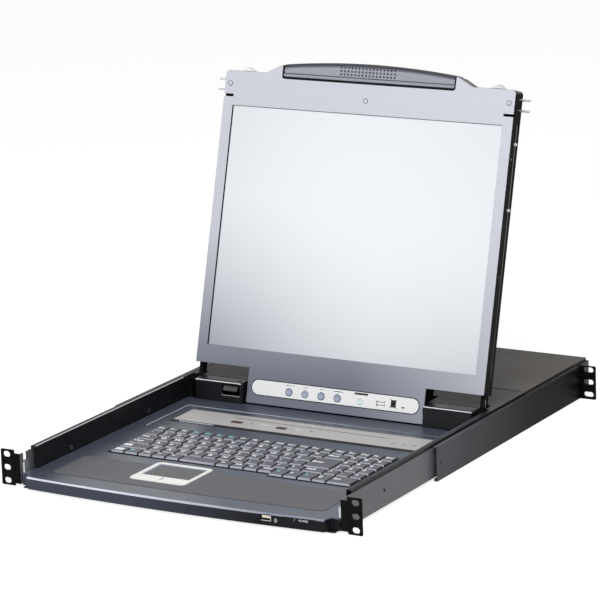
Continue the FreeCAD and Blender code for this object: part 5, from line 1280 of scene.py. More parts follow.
@dataclass
class Keyboard(Assembly):
    """The keys, row by row, and their legends."""

    pitch: float = 19.05
    row_pitch: float = 18.6
    half: float = 165.0
    front: float = 115.5
    gap: float = 1.2
    taper: float = 1.2
    rim: float = 2.4
    top: float = 20.0
    height: float = 4.9
    step: float = 7.4
    enter_key: int = 12
    round_by: float = 0.7
    dish: float = 0.14
    stem_half: float = 2.8
    stem_reach: float = 6.2

    def places(self, row: KeyRow) -> list[tuple[float, float, float, float]]:
        """Gives the left, right, front and depth of each key of a row.

        Args:
            row: The row.

        Returns:
            One tuple for each key.
        """
        front = self.front + row.index * self.row_pitch
        made = []
        edge = -self.half
        low_keys = ARROW_WIDTHS if row.name == "space" else ()
        pad_keys = PAD_WIDTHS if row.name == "upper" else ()
        for number, width in enumerate((*row.widths, *low_keys, *pad_keys)):
            step = self.step if low_keys and number >= len(row.widths) else 0.0
            if pad_keys and number == len(row.widths):
                edge = -self.half + (sum(KEY_ROWS[2].widths) - sum(PAD_WIDTHS)) * self.pitch
            tall = row.name == "home" and number == self.enter_key
            made.append((edge, edge + width * self.pitch, front - step,
                         self.row_pitch * (2 if tall else 1) + step))
            edge += width * self.pitch
        return made

    def cap(self, shape: Shape, left: float, right: float, front: float, depth: float) -> None:
        """Adds one key cap with soft edges and a dished top.

        Args:
            shape: The row's shape.
            left: The key's left boundary.
            right: Its right boundary.
            front: Its front boundary.
            depth: Its depth.
        """
        half_gap = self.gap / 2
        low = self.top - self.height
        across = (left + half_gap, right - half_gap)
        along = (front + half_gap, front + depth - half_gap)
        # The skirt under each cap is painted dark as a shadow line.
        shape.block((across[0] + 0.1, across[1] - 0.1), (along[0] + 0.2, along[1] - 0.2),
                    (low, self.top - self.rim + 0.2))
        shape.paint(1)
        verts = shape.block(across, along, (self.top - self.rim, self.top), taper=self.taper)
        edges = {edge for vert in verts for edge in vert.link_edges
                 if max(edge.verts[0].co.z, edge.verts[1].co.z) > self.top - 0.5}
        shape.bevel(edges, self.round_by, 2)
        made = shape.unpainted()
        lid = max(made, key=lambda face: (round(face.calc_center_median().z, 2), face.calc_area()))
        grown = bmesh.ops.inset_individual(shape.mesh, faces=[lid], thickness=1.6, depth=-self.dish)["faces"]
        shape.unpainted()
        for face in made + grown:
            face.normal_update()
            face.material_index = self.side(face.normal, face.calc_center_median().z)

    def side(self, normal: Vector, height: float) -> int:
        """Gives the material number of a face of a cap.

        Args:
            normal: The face's normal.
            height: The height of its middle.

        Returns:
            3 for the front, painted paler as a highlight, 1 for the sides and back, painted dark as shade,
            and 0 for the top.
        """
        if normal.y < -0.4 and abs(normal.x) < 0.5:
            return 3
        return 1 if height < self.top - 0.9 and (abs(normal.x) > 0.5 or normal.y > 0.5) else 0

    def stems(self, shape: Shape, row: KeyRow) -> None:
        """Adds the stems that slide in the switch plate.

        Args:
            shape: The row's shape.
            row: The row.
        """
        low = self.top - self.height
        y = self.front + (row.index + 0.5) * self.row_pitch
        for left, right, _, _ in self.places(row):
            x = (left + right) / 2
            shape.block((x - self.stem_half, x + self.stem_half), (y - self.stem_half, y + self.stem_half),
                        (low - self.stem_reach, low + 0.1))
        shape.paint(2)

    def legends(self, row: KeyRow) -> None:
        """Prints the legends of a row as thin pieces on its caps.

        Args:
            row: The row.
        """
        prints = {"white": Shape(), "teal": Shape()}
        for number, (place, text) in enumerate(zip(self.places(row), row.legends)):
            if not text:
                continue
            left, _, front, depth = place
            size = row.size if len(text) == 1 else row.size * 0.78
            spot = Vector((left + 3.4, front + depth / 2 + 1.2, self.top - self.dish + 0.03))
            target = prints["teal" if number in row.teal else "white"]
            if text == "box":
                target.slab(rounded_rectangle((left + 3.2, left + 14.2), (front + 5.0, front + 12.4), 1.0,
                                              3), (spot.z - 0.05, spot.z + 0.05))
                continue
            target.add_mesh(lettering(text, size, 0.1), Matrix.Translation(spot))
        for colour, shape in prints.items():
            if shape.mesh.verts:
                finish = Finishes.LEGEND if colour == "white" else Finishes.LEGEND_TEAL
                shape.finish(f"legends_{row.name}_{colour}", f"key_row_{row.name}", [finish],
                             slot="key_grey")
            else:
                shape.mesh.free()

    def build(self) -> None:
        """Builds every row."""
        for row in KEY_ROWS:
            shape = Shape()
            for place in self.places(row):
                self.cap(shape, *place)
            self.stems(shape, row)
            finishes = [Finishes.KEY, Finishes.KEY_PAINTED_SHADE, Finishes.WELL, Finishes.KEY_FRONT_HIGHLIGHT]
            shape.finish(f"key_caps_{row.name}", f"key_row_{row.name}", finishes,
                         replaces=[f"key_row_{row.name}"], slot="key_grey", sharp=50.0)
            self.legends(row)


@dataclass
class Touchpad(Assembly):
    """The touchpad with its moulded frame and two buttons."""

    left: float = -81.5
    right: float = -16.5
    front: float = 53.0
    rear: float = 96.5
    corner: float = 2.0
    frame_top: float = 18.2
    pad_top: float = 17.0
    slope: float = 1.5
    split: Span = (42.5, 52.0)

    def frame_and_buttons(self) -> None:
        """Dresses the frame and the buttons."""
        self.soften("touchpad_frame", "drawer", Finishes.PAD_FRAME, "pad_silver", 0.3, segments=3)
        for side in ("left", "right"):
            self.soften(f"touchpad_button_{side}", f"touchpad_button_{side}", Finishes.PAD_FRAME,
                        "pad_silver", 0.3, segments=3)

    def pad(self) -> None:
        """Dresses the pad and adds the slope around it."""
        self.dress(Finishes.PAD, "touchpad_surface")
        slope = Shape()
        rings = []
        for inset, z in ((0.0, self.pad_top), (0.0, self.frame_top - 0.35), (0.25, self.frame_top - 0.3),
                         (self.slope, self.pad_top + 0.1), (self.slope, self.pad_top)):
            outline = rounded_rectangle((self.left + inset, self.right - inset),
                                        (self.front + inset, self.rear - inset), self.corner)
            rings.append(placed(outline, "Z", z))
        slope.loft(rings)
        slope.paint(0)
        middle = (self.left + self.right) / 2
        slope.block((middle - 0.3, middle + 0.3), self.split, (self.pad_top + 0.8, self.frame_top + 0.06))
        slope.paint(1)
        slope.finish("touchpad_slope", "drawer", [Finishes.PAD_SLOPE, Finishes.PRINT_GREY],
                     slot="pad_silver")

    def build(self) -> None:
        """Builds every piece of the touchpad."""
        self.frame_and_buttons()
        self.pad()


@dataclass
class StatusPanel(Assembly):
    """The panel behind the keys, with its dark strip, two windows and marks."""

    top: float = 17.6
    half: float = 170.0
    rear: float = 311.0
    strip: Span = (256.5, 264.6)
    windows: tuple[Span, ...] = ((-98.0, -82.0), (-33.5, -19.5))
    window_y: tuple[Span, ...] = ((279.0, 287.0), (277.5, 286.0))
    inlay: Span = (17.0, 17.45)
    line: tuple[Point, ...] = ((-102.0, 298.0), (114.0, 294.0), (114.0, 295.8), (-102.0, 299.8))
    tick_first: float = -96.0
    tick_pitch: float = 25.0
    tick_count: int = 9
    bars: tuple[float, ...] = (126.0, 140.0, 154.0)
    signs: tuple[float, ...] = (-70.0, -52.0, -4.0, 14.0)
    sign_y: float = 284.0
    dash_first: float = -158.0
    dash_pitch: float = 4.1
    dash_count: int = 12
    dash_y: Span = (258.4, 262.2)

    def panel(self) -> None:
        """Dresses the panel."""
        self.soften("status_panel", "drawer", Finishes.STATUS, "status_silver", 0.35, segments=3)

    def inlays(self) -> None:
        """Adds the dark strip in front and the two windows."""
        edge = Shape()
        edge.slab(rounded_rectangle((-self.half, self.half), self.strip, 1.5), self.inlay)
        # The dark strip at the left end is painted shadow.
        edge.block((-self.half - 1.8, -self.half), (self.strip[0], self.rear), self.inlay)
        edge.bevel(edge.sharp_edges(), 0.12, 1)
        edge.finish("status_band_and_left_shadow", "drawer", [Finishes.STATUS_BAND_AND_SHADOW], slot="status_silver")
        glass = Shape()
        for x, y in zip(self.windows, self.window_y):
            glass.slab(rounded_rectangle(x, y, 1.2), (self.top - 0.1, self.top + 0.12))
        glass.bevel(glass.sharp_edges(), 0.06, 1)
        glass.finish("status_windows", "drawer", [Finishes.STATUS_GLASS], slot="status_silver")

    def marks(self) -> None:
        """Adds the printed marks: a fine line with ticks and simple signs."""
        print_piece = Shape()
        high = (self.top - 0.02, self.top + 0.04)
        print_piece.slab(self.line, high)
        for number in range(self.tick_count):
            x = self.tick_first + self.tick_pitch * number
            y = 299.0 - 4.0 * (x + 102.0) / 216.0
            print_piece.block((x - 0.5, x + 0.5), (y, y + 3.6), high)
        for x in self.bars:
            print_piece.block((x, x + 5.0), (277.0, 278.6), high)
            print_piece.block((x + 1.6, x + 3.4), (281.0, 283.6), high)
        print_piece.paint(0)
        for x in self.signs:
            print_piece.tube("Z", (x, self.sign_y), 3.6, 2.2, high, 20)
            print_piece.block((x - 1.0, x + 1.0), (self.sign_y - 1.0, self.sign_y + 1.0), high)
        for number in range(self.dash_count):
            x = self.dash_first + self.dash_pitch * number
            print_piece.block((x, x + 2.7), self.dash_y, (self.inlay[1] - 0.05, self.inlay[1] + 0.05))
        print_piece.paint(1)
        print_piece.finish("status_print", "drawer", [Finishes.PRINT_GREY, Finishes.PRINT_PALE],
                           slot="status_silver")

    def build(self) -> None:
        """Builds every piece of the panel."""
        self.panel()
        self.inlays()
        self.marks()


@dataclass
class Display(Assembly):
    """The folding display: shells, screen, side catches and boards."""

    half: float = 202.0
    window: Span = (-188.1, 188.1)
    window_y: Span = (47.0, 347.8)
    left_shadow_width: float = 1.1
    screen_face: float = -1.7
    seam_y: Span = (44.0, 350.0)
    seam_z: Span = (-13.6, -12.7)
    side_screws: Span = (166.0, 308.0)
    top_shade_from: float = 366.0
    hinge_plates: tuple[tuple[float, Span], ...] = ((198.6, (10.0, 18.5)), (197.0, (2.5, 11.0)))
    plate_z: Span = (-10.6, -9.8)
    hinge_pin: Point = (0.0, -12.25)

    def shells(self) -> None:
        """Dresses the bezel and the dark back: the bezel is silver in front, with painted shade towards its
        bottom that is weaker on the right and a painted dark line on its top edge, and dark at the sides.
        """
        bezel = node_shape("lcd_bezel", 0.5, 3, space=Space.FACE)
        bezel.paint_where(1, lambda centre, normal: centre.z < -1.0 or normal.z < 0.5)
        # The top edge's bevel gets a painted dark line as shade.
        bezel.paint_where(2, lambda centre, normal: centre.y > self.top_shade_from and 0.3 < normal.y < 0.95)
        bezel.finish("lcd_bezel_dressed", "lid", [Finishes.BEZEL_SHADED, Finishes.LID_BACK, Finishes.GRIP_TOP_SHADE],
                     Space.FACE, ["lcd_bezel"], "bezel_silver")
        # The side joint and its screws get the painted highlight.
        seam = Shape()
        for side in (-1, 1):
            seam.block((side * (self.half - 0.3), side * (self.half + 0.04)), self.seam_y, self.seam_z, 0.05)
            for y in self.side_screws:
                seam.rod("X", (y, -6.8), 0.9, (side * (self.half - 0.5), side * (self.half + 0.1)), 16)
        seam.paint(0)
        for side in (-1, 1):
            for x, y in self.hinge_plates:
                seam.block((side * x, side * (x + 2.0)), y, self.plate_z, 0.1, 1)
            seam.rod("X", self.hinge_pin, 2.1, (side * 196.0, side * 202.6), 20)
        seam.paint(1)
        seam.finish("lid_seam", "lid", [Finishes.SEAM_HIGHLIGHT, Finishes.ZINC], Space.FACE, slot="zinc_steel")
        self.soften("lcd_rear_cover", "lid", Finishes.LID_BACK, "lid_back", 0.4, segments=3,
                    space=Space.FACE)

    def screen(self) -> None:
        """Lights the screen and adds painted shade at the window: a dark strip at its left for the shadow of
        the reveal and a grey line along its top.
        """
        self.dress(Finishes.SCREEN, "screen")
        # The dark strip is painted shadow of the window's left reveal; the grey line along the top is
        # painted shade too.
        line = Shape()
        line.block((self.window[0] - 0.02, self.window[0] + self.left_shadow_width), self.window_y,
                   (self.screen_face - 0.02, -0.12), 0.05)
        line.paint(0)
        line.block(self.window, (self.window_y[1] - 0.7, self.window_y[1] + 0.02),
                   (self.screen_face - 0.02, -0.12), 0.05)
        line.paint(1)
        line.finish("window_painted_shadow", "lid", [Finishes.GAP_SHADE, Finishes.PRINT_GREY], Space.FACE,
                    slot="bezel_silver")

    def catches(self) -> None:
        """Dresses the side catches and the hinge arms."""
        for side in ("left", "right"):
            self.soften(f"catch_{side}", f"catch_{side}", Finishes.ZINC, "zinc_steel", 0.15)
        self.dress(Finishes.BLACK_STEEL, "hinge_arms")

    def build(self) -> None:
        """Builds every piece of the display except its grip and controls."""
        self.shells()
        self.screen()
        self.catches()
        self.dress(Finishes.PANEL, "lcd_panel")
        self.dress(Finishes.BOARD, "display_board")


@dataclass
class Grip(Assembly):
    """The bowed grip along the top of the display."""

    half: float = 120.0
    low: float = 386.1
    high: float = 402.1
    bow: float = 6.9
    face: float = 0.3
    step: float = 5.6
    step_depth: float = 1.4
    back: float = -21.5
    pocket_half: float = 108.0
    stations: int = 40
    gap_top: float = 0.06
    gap: float = 0.5
    rim: float = 1.3
    side_rim: float = 1.0
    crown_rise: float = 1.3
    dimple_first: float = -38.8
    dimple_pitch: float = 4.99
    dimple_low: float = 395.3
    dimple_rise: float = 4.2
    dimple_half: Point = (1.35, 1.3)

    def crown(self, x: float) -> float:
        """Gives the height of the grip's top edge at a place across."""
        return self.high + self.crown_rise + (self.bow - 0.15) * (1.0 - (x / self.half) ** 2)

    def front(self, x: float) -> list[Point]:
        """Gives the front of the section at a place across, from its lower edge up.

        Args:
            x: The place.

        Returns:
            Pairs of y and z.
        """
        top = self.crown(x)
        low = self.low + self.gap + 2.4 * max(0.0, 1.0 - (self.half - self.gap - abs(x)) / 3.0) ** 2
        ridge = self.low + self.step
        sunk = self.face - self.step_depth
        return [(low, self.face - 2.2), (low + 0.5, self.face - 1.0), (low + 1.3, self.face - 0.3),
                (low + 2.3, self.face), (ridge - 0.9, self.face - 0.1), (ridge - 0.4, self.face - 0.5),
                (ridge - 0.1, sunk - 0.5), (ridge + 0.5, sunk - 0.5), (ridge + 0.8, sunk), (top - 6.0, sunk),
                (top - 4.2, sunk - 0.2), (top - 2.6, sunk - 0.8), (top - 1.3, sunk - 1.7),
                (top - 0.4, sunk - 2.9), (top, sunk - 4.4),]

    def section(self, x: float) -> list[Vector]:
        """Gives the section of the grip at a place across.

        Args:
            x: The place.

        Returns:
            The points of the section, from the lower front upwards and round the back.
        """
        top = self.crown(x)
        room = -10.6 if abs(x) < self.pocket_half else self.back + 0.4
        profile = self.front(x) + [(top, self.back + 2.5), (top - 0.6, self.back + 0.8),
                                   (top - 1.6, self.back), (self.high - 2.6, self.back),
                                   (self.high - 2.2, self.back + 0.4), (self.high - 2.1, room),
                                   (self.low + 4.7, room), (self.low + 4.6, self.back + 0.4),
                                   (self.low + 4.3, self.back), (self.front(x)[0][0], self.back),]
        return [Vector((x, y, z)) for y, z in profile]

    def body(self) -> None:
        """Makes the grip as a row of joined sections."""
        grip = Shape()
        reach = self.half - self.gap
        places = [reach * math.sin(math.pi * (number / self.stations - 0.5))
                  for number in range(self.stations + 1)]
        places = sorted(places + [-self.pocket_half, self.pocket_half, 0.1 - self.pocket_half,
                                  self.pocket_half - 0.1])
        grip.loft([self.section(x) for x in places], closed=False)
        grip.paint(0)
        # The top is painted in two bands of shade, and the line under the ridge and the lower edge as
        # shadow.
        grip.paint_where(3, lambda centre, normal: centre.y > self.crown(centre.x) - 5.4)
        grip.paint_where(1, lambda centre, normal: centre.y > self.crown(centre.x) - 3.6)
        grip.paint_where(2, lambda centre, normal: centre.y < self.low + self.gap + 1.2
                         or abs(centre.y - self.low - self.step - 0.1) < 0.45)
        grip.finish("upper_handle_dressed", "lid", [Finishes.GRIP, Finishes.GRIP_TOP_SHADE, Finishes.GRIP_GROOVE_SHADOW,
                                                    Finishes.GRIP_MID_SHADE], Space.FACE, ["upper_handle"],
                    "grip_grey")

    def dimples(self) -> None:
        """Adds the three rows of dimples in the middle of the grip, as dark patches of painted shade."""
        shape = Shape()
        wide, tall = self.dimple_half
        for row in range(3):
            for number in range(16):
                x = self.dimple_first + number * self.dimple_pitch
                y = self.dimple_low + row * self.dimple_rise
                low, high = [(a, b) for a, b in zip(self.front(x),
                                                    self.front(x)[1:]) if a[0] <= y <= b[0]][-1]
                z = low[1] + (high[1] - low[1]) * (y - low[0]) / (high[0] - low[0])
                shape.block((x - wide, x + wide), (y - tall, y + tall), (z - 0.8, z + 0.08), 0.2, 1)
        shape.finish("grip_dimples", "lid", [Finishes.DIMPLE_SHADE], Space.FACE, slot="grip_grey")

    def surround(self) -> None:
        """Adds a black piece for the shade in the gap between the grip and the shells."""
        shape = Shape()
        reach = self.half + self.side_rim
        base = self.low - self.rim
        outline = [(-reach, 401.9), (-reach, base + 3.0), (-reach + 0.9, base + 0.9), (-reach + 3.0, base)]
        outer = outline + [(-u, v) for u, v in outline[::-1]]
        width = self.side_rim + self.gap + 0.4
        inner = [(u - math.copysign(width, u), max(v, self.low + self.gap + 0.4)) for u, v in outer[::-1]]
        shape.slab(outer + inner, (-3.0, self.gap_top))
        shape.finish("grip_gap_shade", "lid", [Finishes.GAP_SHADE], Space.FACE, slot="grip_grey")

    def build(self) -> None:
        """Builds every piece of the grip."""
        self.body()
        self.surround()
        self.dimples()


@dataclass
class ControlStrip(Assembly):
    """The strip under the screen: menu buttons, power button, jack and marks."""

    half: float = 117.0
    low: float = -7.9
    high: float = 10.6
    proud: float = 0.3
    button_radius: float = 4.1
    button_top: float = 1.2
    button_y: float = -0.5
    menu_first: float = -64.0
    menu_pitch: float = 22.8
    power_x: float = 36.2
    jack_x: float = 82.3
    jack_y: float = 1.2
    slot: tuple[Span, Span] = ((94.1, 97.5), (-3.0, -1.2))
    sign_offsets: Span = (-2.4, 1.0)
    sign_ends: Span = (-68.6, -59.6)
    plug_left: float = 59.0
    plug_rows: Span = (-2.6, 1.2)

    def strip(self) -> None:
        """Dresses the strip and adds the thin dark outline around it."""
        self.soften("control_strip", "lid", Finishes.STRIP, "strip_white", 0.12, space=Space.FACE)
        outline = Shape()
        rings = []
        for grow, z in ((-0.1, -0.3), (-0.1, 0.36), (0.95, 0.2), (0.95, -0.3)):
            radius = (self.high - self.low) / 2 + grow
            points = rounded_rectangle((-self.half - grow, self.half + grow),
                                       (self.low - grow, self.high + grow), radius - 0.001, 12)
            rings.append(placed(points, "Z", z))
        # The black ring round the strip is painted shade in the gap round it.
        outline.loft(rings)
        outline.finish("strip_outline", "lid", [Finishes.GAP_SHADE], Space.FACE, slot="strip_white")

    def button(self, node: str, x: float, finish: Finish, slot: str) -> None:
        """Makes a round button with a dished top.

        Args:
            node: The CAD node and body.
            x: The button's centre.
            finish: Its finish.
            slot: Not used; it is passed on to Shape.finish, which does not read it.
        """
        shape = Shape()
        top = self.button_top - 0.02
        radius = self.button_radius
        shape.lathe([(0.0, top - 0.45), (radius * 0.45, top - 0.38), (radius * 0.78, top - 0.12),
                     (radius * 0.88, top), (radius * 0.97, top - 0.12), (radius, top - 0.4), (radius, -2.1),
                     (radius + 0.9, -2.1), (radius + 0.9, -2.95), (0.0, -2.95)], (x, self.button_y), 40)
        shape.finish(f"{node}_dressed", node, [finish], Space.FACE, [node], slot)
        ring = Finishes.PRINT_GREY if finish is Finishes.BUTTON else Finishes.STRIP
        halo = Shape()
        halo.tube("Z", (x, self.button_y), radius + 1.0, radius + 0.55, (0.2, self.proud + 0.04), 40)
        halo.finish(f"{node}_surround", "lid", [ring], Space.FACE, slot="strip_white")

    def buttons(self) -> None:
        """Makes the four menu buttons and the power button."""
        for number in range(4):
            self.button(f"menu_button_{number + 1}", self.menu_first + number * self.menu_pitch,
                        Finishes.BUTTON, "button_grey")
        self.button("display_power_button", self.power_x, Finishes.POWER_CAP, "power_cyan")

    def jack(self) -> None:
        """Dresses the jack and adds its corners and the small slot beside it."""
        self.soften("strip_jack", "lid", Finishes.JACK, "jack_black", 0.2, space=Space.FACE)
        rim = Shape()
        for x in (-1, 1):
            for y in (-1, 1):
                rim.block((self.jack_x + x * 3.2, self.jack_x + x * 4.4),
                          (self.jack_y + y * 3.9, self.jack_y + y * 5.3), (0.1, self.proud + 0.06))
        rim.paint(0)
        # The jack's opening and the slot beside it are painted black as shade.
        rim.block((self.jack_x - 3.4, self.jack_x + 3.4), (self.jack_y - 4.5, self.jack_y + 4.5),
                  (0.1, self.proud + 0.1))
        rim.block(*self.slot, (0.1, self.proud + 0.06), 0.1)
        rim.paint(1)
        rim.finish("jack_rim", "lid", [Finishes.JACK_RIM, Finishes.GAP_SHADE], Space.FACE, slot="jack_black")

    def marks(self) -> None:
        """Prints simple signs over the buttons and beside the jack."""
        shape = Shape()
        high = (self.proud, self.proud + 0.05)
        for number in range(4):
            x = self.menu_first + number * self.menu_pitch
            for offset in self.sign_offsets:
                shape.block((x + offset, x + offset + 1.6), (7.0, 8.2), high)
        for x in self.sign_ends:
            shape.block((x, x + 2.4), (7.2, 8.0), high)
        shape.block((-1.6, 12.0), (7.3, 8.0), high)
        outline = rounded_rectangle((27.6, 46.6), (6.9, 9.6), 1.3, 4)
        inner = rounded_rectangle((28.2, 46.0), (7.4, 9.1), 0.8, 4)
        shape.ring(outline, inner, high)
        shape.block((34.2, 38.2), (7.6, 8.9), high)
        left = self.plug_left
        for y in self.plug_rows:
            shape.block((left, left + 11.6), (y, y + 0.7), high)
            shape.block((left, left + 1.6), (y - 1.4, y + 1.6), high)
            shape.block((left + 10.6, left + 11.4), (y - 0.6, y + 2.0), high)
        shape.finish("strip_print", "lid", [Finishes.PRINT_GREY], Space.FACE, slot="strip_white")

    def build(self) -> None:
        """Builds every piece of the strip."""
        self.strip()
        self.buttons()
        self.jack()
        self.marks()


@dataclass
class Screws(Assembly):
    """Cross-slot screws in the place of the plain ones."""

    radius: float = 2.5
    height: float = 0.6
    shank: float = 1.45
    length: float = 5.0
    rim_top: float = 0.25

    def pattern(self) -> bpy.types.Mesh:
        """Makes one screw about the origin, its head towards +z.

        Returns:
            The screw's mesh.
        """
        shape = Shape()
        profile = ((self.shank, -self.length), (self.shank, 0.0), (self.radius, 0.0),
                   (self.radius, self.height * 0.45), (self.radius - 0.25, self.height * 0.85),
                   (self.radius * 0.66, self.height))
        shape.loft([placed(circle((0.0, 0.0), radius, 24), "Z", z) for radius, z in profile], closed=False,
                   lid=False)
        shape.paint(0)
        arm, thick = self.radius * 0.52, self.radius * 0.16
        star = [(arm, thick), (thick, thick), (thick, arm), (-thick, arm), (-thick, thick), (-arm, thick),
                (-arm, -thick), (-thick, -thick), (-thick, -arm), (thick, -arm), (thick, -thick),
                (arm, -thick)]
        loops = []
        for scale, z in ((1.0, self.height), (0.75, self.height - 0.5)):
            verts = [shape.mesh.verts.new((u * scale, v * scale, z)) for u, v in star]
            loops.append([shape.mesh.edges.new((verts[i - 1], verts[i])) for i in range(len(verts))])
        bmesh.ops.bridge_loops(shape.mesh, edges=loops[0] + loops[1])
        shape.mesh.faces.new([edge.verts[0] for edge in loops[1]])
        shape.paint(1)
        rim = [edge for edge in shape.mesh.edges if edge.is_boundary
               and all(abs(vert.co.z - self.height) < 1e-5 for vert in edge.verts)]
        bmesh.ops.bridge_loops(shape.mesh, edges=rim)
        shape.paint(0)
        mesh = bpy.data.meshes.new("screw_pattern")
        shape.mesh.to_mesh(mesh)
        shape.mesh.free()
        return mesh

    def places(self, node: str, space: Space) -> list[Matrix]:
        """Finds where the screws of a node stand.

        Args:
            node: The CAD node.
            space: The space in which its screws lie along an axis.

        Returns:
            A matrix for each screw, from the pattern into the space.
        """
        shape = node_shape(node, 0.0, space=space)
        left = set(shape.mesh.verts)
        found = []
        while left:
            group = {left.pop()}
            queue = list(group)
            while queue:
                vert = queue.pop()
                near = {edge.other_vert(vert) for edge in vert.link_edges} - group
                group |= near
                queue += near
            left -= group
            found.append(self.axis_matrix([vert.co.copy() for vert in group]))
        shape.mesh.free()
        return found

    def axis_matrix(self, points: Sequence[Vector]) -> Matrix:
        """Gives the matrix of one screw from the points of its plain form.

        Args:
            points: The points.

        Returns:
            The matrix from the pattern, whose head sits on z = 0.
        """
        low = Vector([min(point[axis] for point in points) for axis in range(3)])
        high = Vector([max(point[axis] for point in points) for axis in range(3)])
        middle = (low + high) / 2
        axis = max(range(3), key=lambda number: high[number] - low[number])
        spread = {end: max((point - middle)[(axis + 1) % 3] for point in points
                           if abs(point[axis] - end) < 0.2) for end in (low[axis], high[axis])}
        end = max(spread, key=spread.get)
        direction = Vector()
        direction[axis] = 1.0 if end == high[axis] else -1.0
        seat = middle.copy()
        seat[axis] = end - direction[axis] * self.height
        return Matrix.Translation(seat) @ direction.to_track_quat("Z", "Y").to_matrix().to_4x4()

    def build(self) -> None:
        """Builds the screws of the three nodes."""
        pattern = self.pattern()
        for node, body, space, finish in (("chassis_screws", "chassis", Space.BASE, Finishes.DARK_SCREW),
                                          ("drawer_screws", "drawer", Space.BASE, Finishes.DARK_SCREW),
                                          ("lcd_screws", "lid", Space.FACE, Finishes.FACE_SCREW)):
            shape = Shape()
            for place in self.places(node, space):
                shape.add_mesh(pattern, place)
                if node == "lcd_screws" and place.col[2].z > 0.9:
                    # A black ring round each face screw: painted shade in the gap round its head.
                    shape.tube("Z", place.translation.xy, self.radius + 0.7, self.radius + 0.05,
                               (place.translation.z - 0.4, place.translation.z + self.rim_top))
                    shape.paint(1)
            shape.finish(f"{node}_dressed", body, [finish, Finishes.GAP_SHADE], space, [node], "zinc_steel")


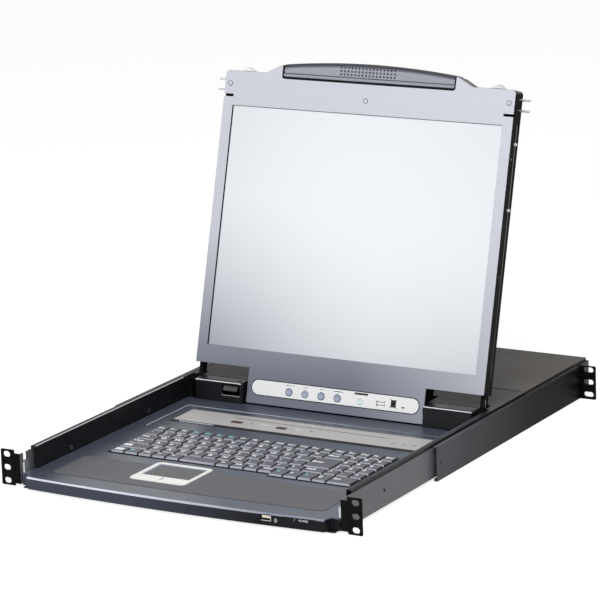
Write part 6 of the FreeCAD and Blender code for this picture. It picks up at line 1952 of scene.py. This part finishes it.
@dataclass
class Stage:
    """The floor, the soft light and the camera at the photograph's angle."""

    azimuth: float = 30.43
    elevation: float = 14.06
    roll: float = -1.95
    place: Place = (1.96635, -3.05596, 1.127725)
    focal_share: float = 3350.0 / 600.0
    sensor: float = 36.0
    floor_half: float = 12.0
    floor_grey: float = 0.86
    floor_glow: float = 1.42
    floor_share: float = 0.58
    fill: float = 0.36
    lights: tuple[tuple[str, Place, float, float], ...] = (("light_key", (0.5, -0.75, 1.4), 0.8, 19.0),
                                                           ("light_left", (-2.2, -1.8, 1.3), 1.6, 10.0),
                                                           ("light_above", (0.1, 0.8, 2.3), 1.6, 5.0))
    aim: Place = (0.0, 0.38, 0.2)

    def camera(self) -> None:
        """Sets up the camera."""
        turn = math.radians(self.azimuth)
        lift = math.radians(self.elevation)
        back = Vector((math.sin(turn) * math.cos(lift), -math.cos(turn) * math.cos(lift), math.sin(lift)))
        right = (-back).cross(Vector((0.0, 0.0, 1.0))).normalized()
        up = right.cross(-back)
        roll = math.radians(self.roll)
        across = right * math.cos(roll) + up * math.sin(roll)
        above = up * math.cos(roll) - right * math.sin(roll)
        data = bpy.data.cameras.new("camera")
        data.sensor_width = self.sensor
        data.lens = self.sensor * self.focal_share
        data.clip_end = 100.0
        camera = bpy.data.objects.new("camera", data)
        camera.matrix_world = Matrix.Translation(self.place) @ Matrix((across, above,
                                                                       back)).transposed().to_4x4()
        bpy.context.scene.collection.objects.link(camera)
        bpy.context.scene.camera = camera

    def rays(self, graph: Graph) -> Socket:
        """Adds the test for camera, glossy and transmission rays.

        Args:
            graph: The graph of a world or material.

        Returns:
            A socket that is 1 for those rays.
        """
        path = graph.node("ShaderNodeLightPath")
        seen = graph.math("MAXIMUM", path.outputs["Is Camera Ray"], path.outputs["Is Glossy Ray"])
        return graph.math("MAXIMUM", seen, path.outputs["Is Transmission Ray"])

    def world(self) -> None:
        """Makes a white background and a dimmer even light."""
        world = bpy.data.worlds.new("studio")
        bpy.context.scene.world = world
        world.use_nodes = True
        graph = Graph(world.node_tree)
        strength = graph.ramp(self.rays(graph), 0.0, 1.0, self.fill, 1.0)
        light = graph.node("ShaderNodeBackground", {"Color": (1.0, 1.0, 1.0, 1.0), "Strength": strength})
        graph.node("ShaderNodeOutputWorld", {"Surface": light.outputs[0]})

    def floor(self) -> None:
        """Makes the pale floor, which keeps the object's shadow."""
        mesh = bmesh.new()
        bmesh.ops.create_grid(mesh, x_segments=1, y_segments=1, size=self.floor_half)
        bmesh.ops.translate(mesh, verts=mesh.verts, vec=(0.0, 0.0, -HALF_RACK_UNIT * MM))
        data = bpy.data.meshes.new("floor")
        mesh.to_mesh(data)
        mesh.free()
        material = bpy.data.materials.new("floor_white")
        material.use_nodes = True
        graph = Graph(material.node_tree)
        paint = graph.node("ShaderNodeBsdfDiffuse", {"Color": (*[self.floor_grey] * 3, 1.0)})
        glow = graph.node("ShaderNodeEmission", {"Color": (1.0, 1.0, 1.0, 1.0), "Strength": self.floor_glow})
        share = graph.times(self.rays(graph), self.floor_share)
        mix = graph.node("ShaderNodeMixShader", {0: share, 1: paint.outputs[0], 2: glow.outputs[0]})
        graph.node("ShaderNodeOutputMaterial", {"Surface": mix.outputs[0]})
        data.materials.append(material)
        floor = bpy.data.objects.new("floor", data)
        bpy.context.scene.collection.objects.link(floor)

    def light(self, name: str, place: Place, size: float, power: float) -> None:
        """Adds a soft square light that faces the object.

        Args:
            name: Its name.
            place: Its place in metres.
            size: Its side in metres.
            power: Its power in watts.
        """
        data = bpy.data.lights.new(name, "AREA")
        data.size = size
        data.energy = power
        lamp = bpy.data.objects.new(name, data)
        aim = Vector(self.aim) - Vector(place)
        lamp.matrix_world = Matrix.Translation(place) @ aim.to_track_quat("-Z", "Y").to_matrix().to_4x4()
        bpy.context.scene.collection.objects.link(lamp)

    def build(self) -> None:
        """Builds the stage."""
        bpy.context.scene.view_settings.view_transform = "Standard"
        self.camera()
        self.world()
        self.floor()
        for lamp in self.lights:
            self.light(*lamp)


def main() -> None:
    """Builds the stage and every sub-assembly in order."""
    logging.basicConfig(level=logging.INFO, format="%(message)s")
    Stage().build()
    for part in (Chassis, SwitchModule, Drawer, Keyboard, Touchpad, StatusPanel, Display, Grip, ControlStrip,
                 Screws):
        log.info("building %s", part.__name__)
        part().build()


if __name__ == "__main__":
    main()
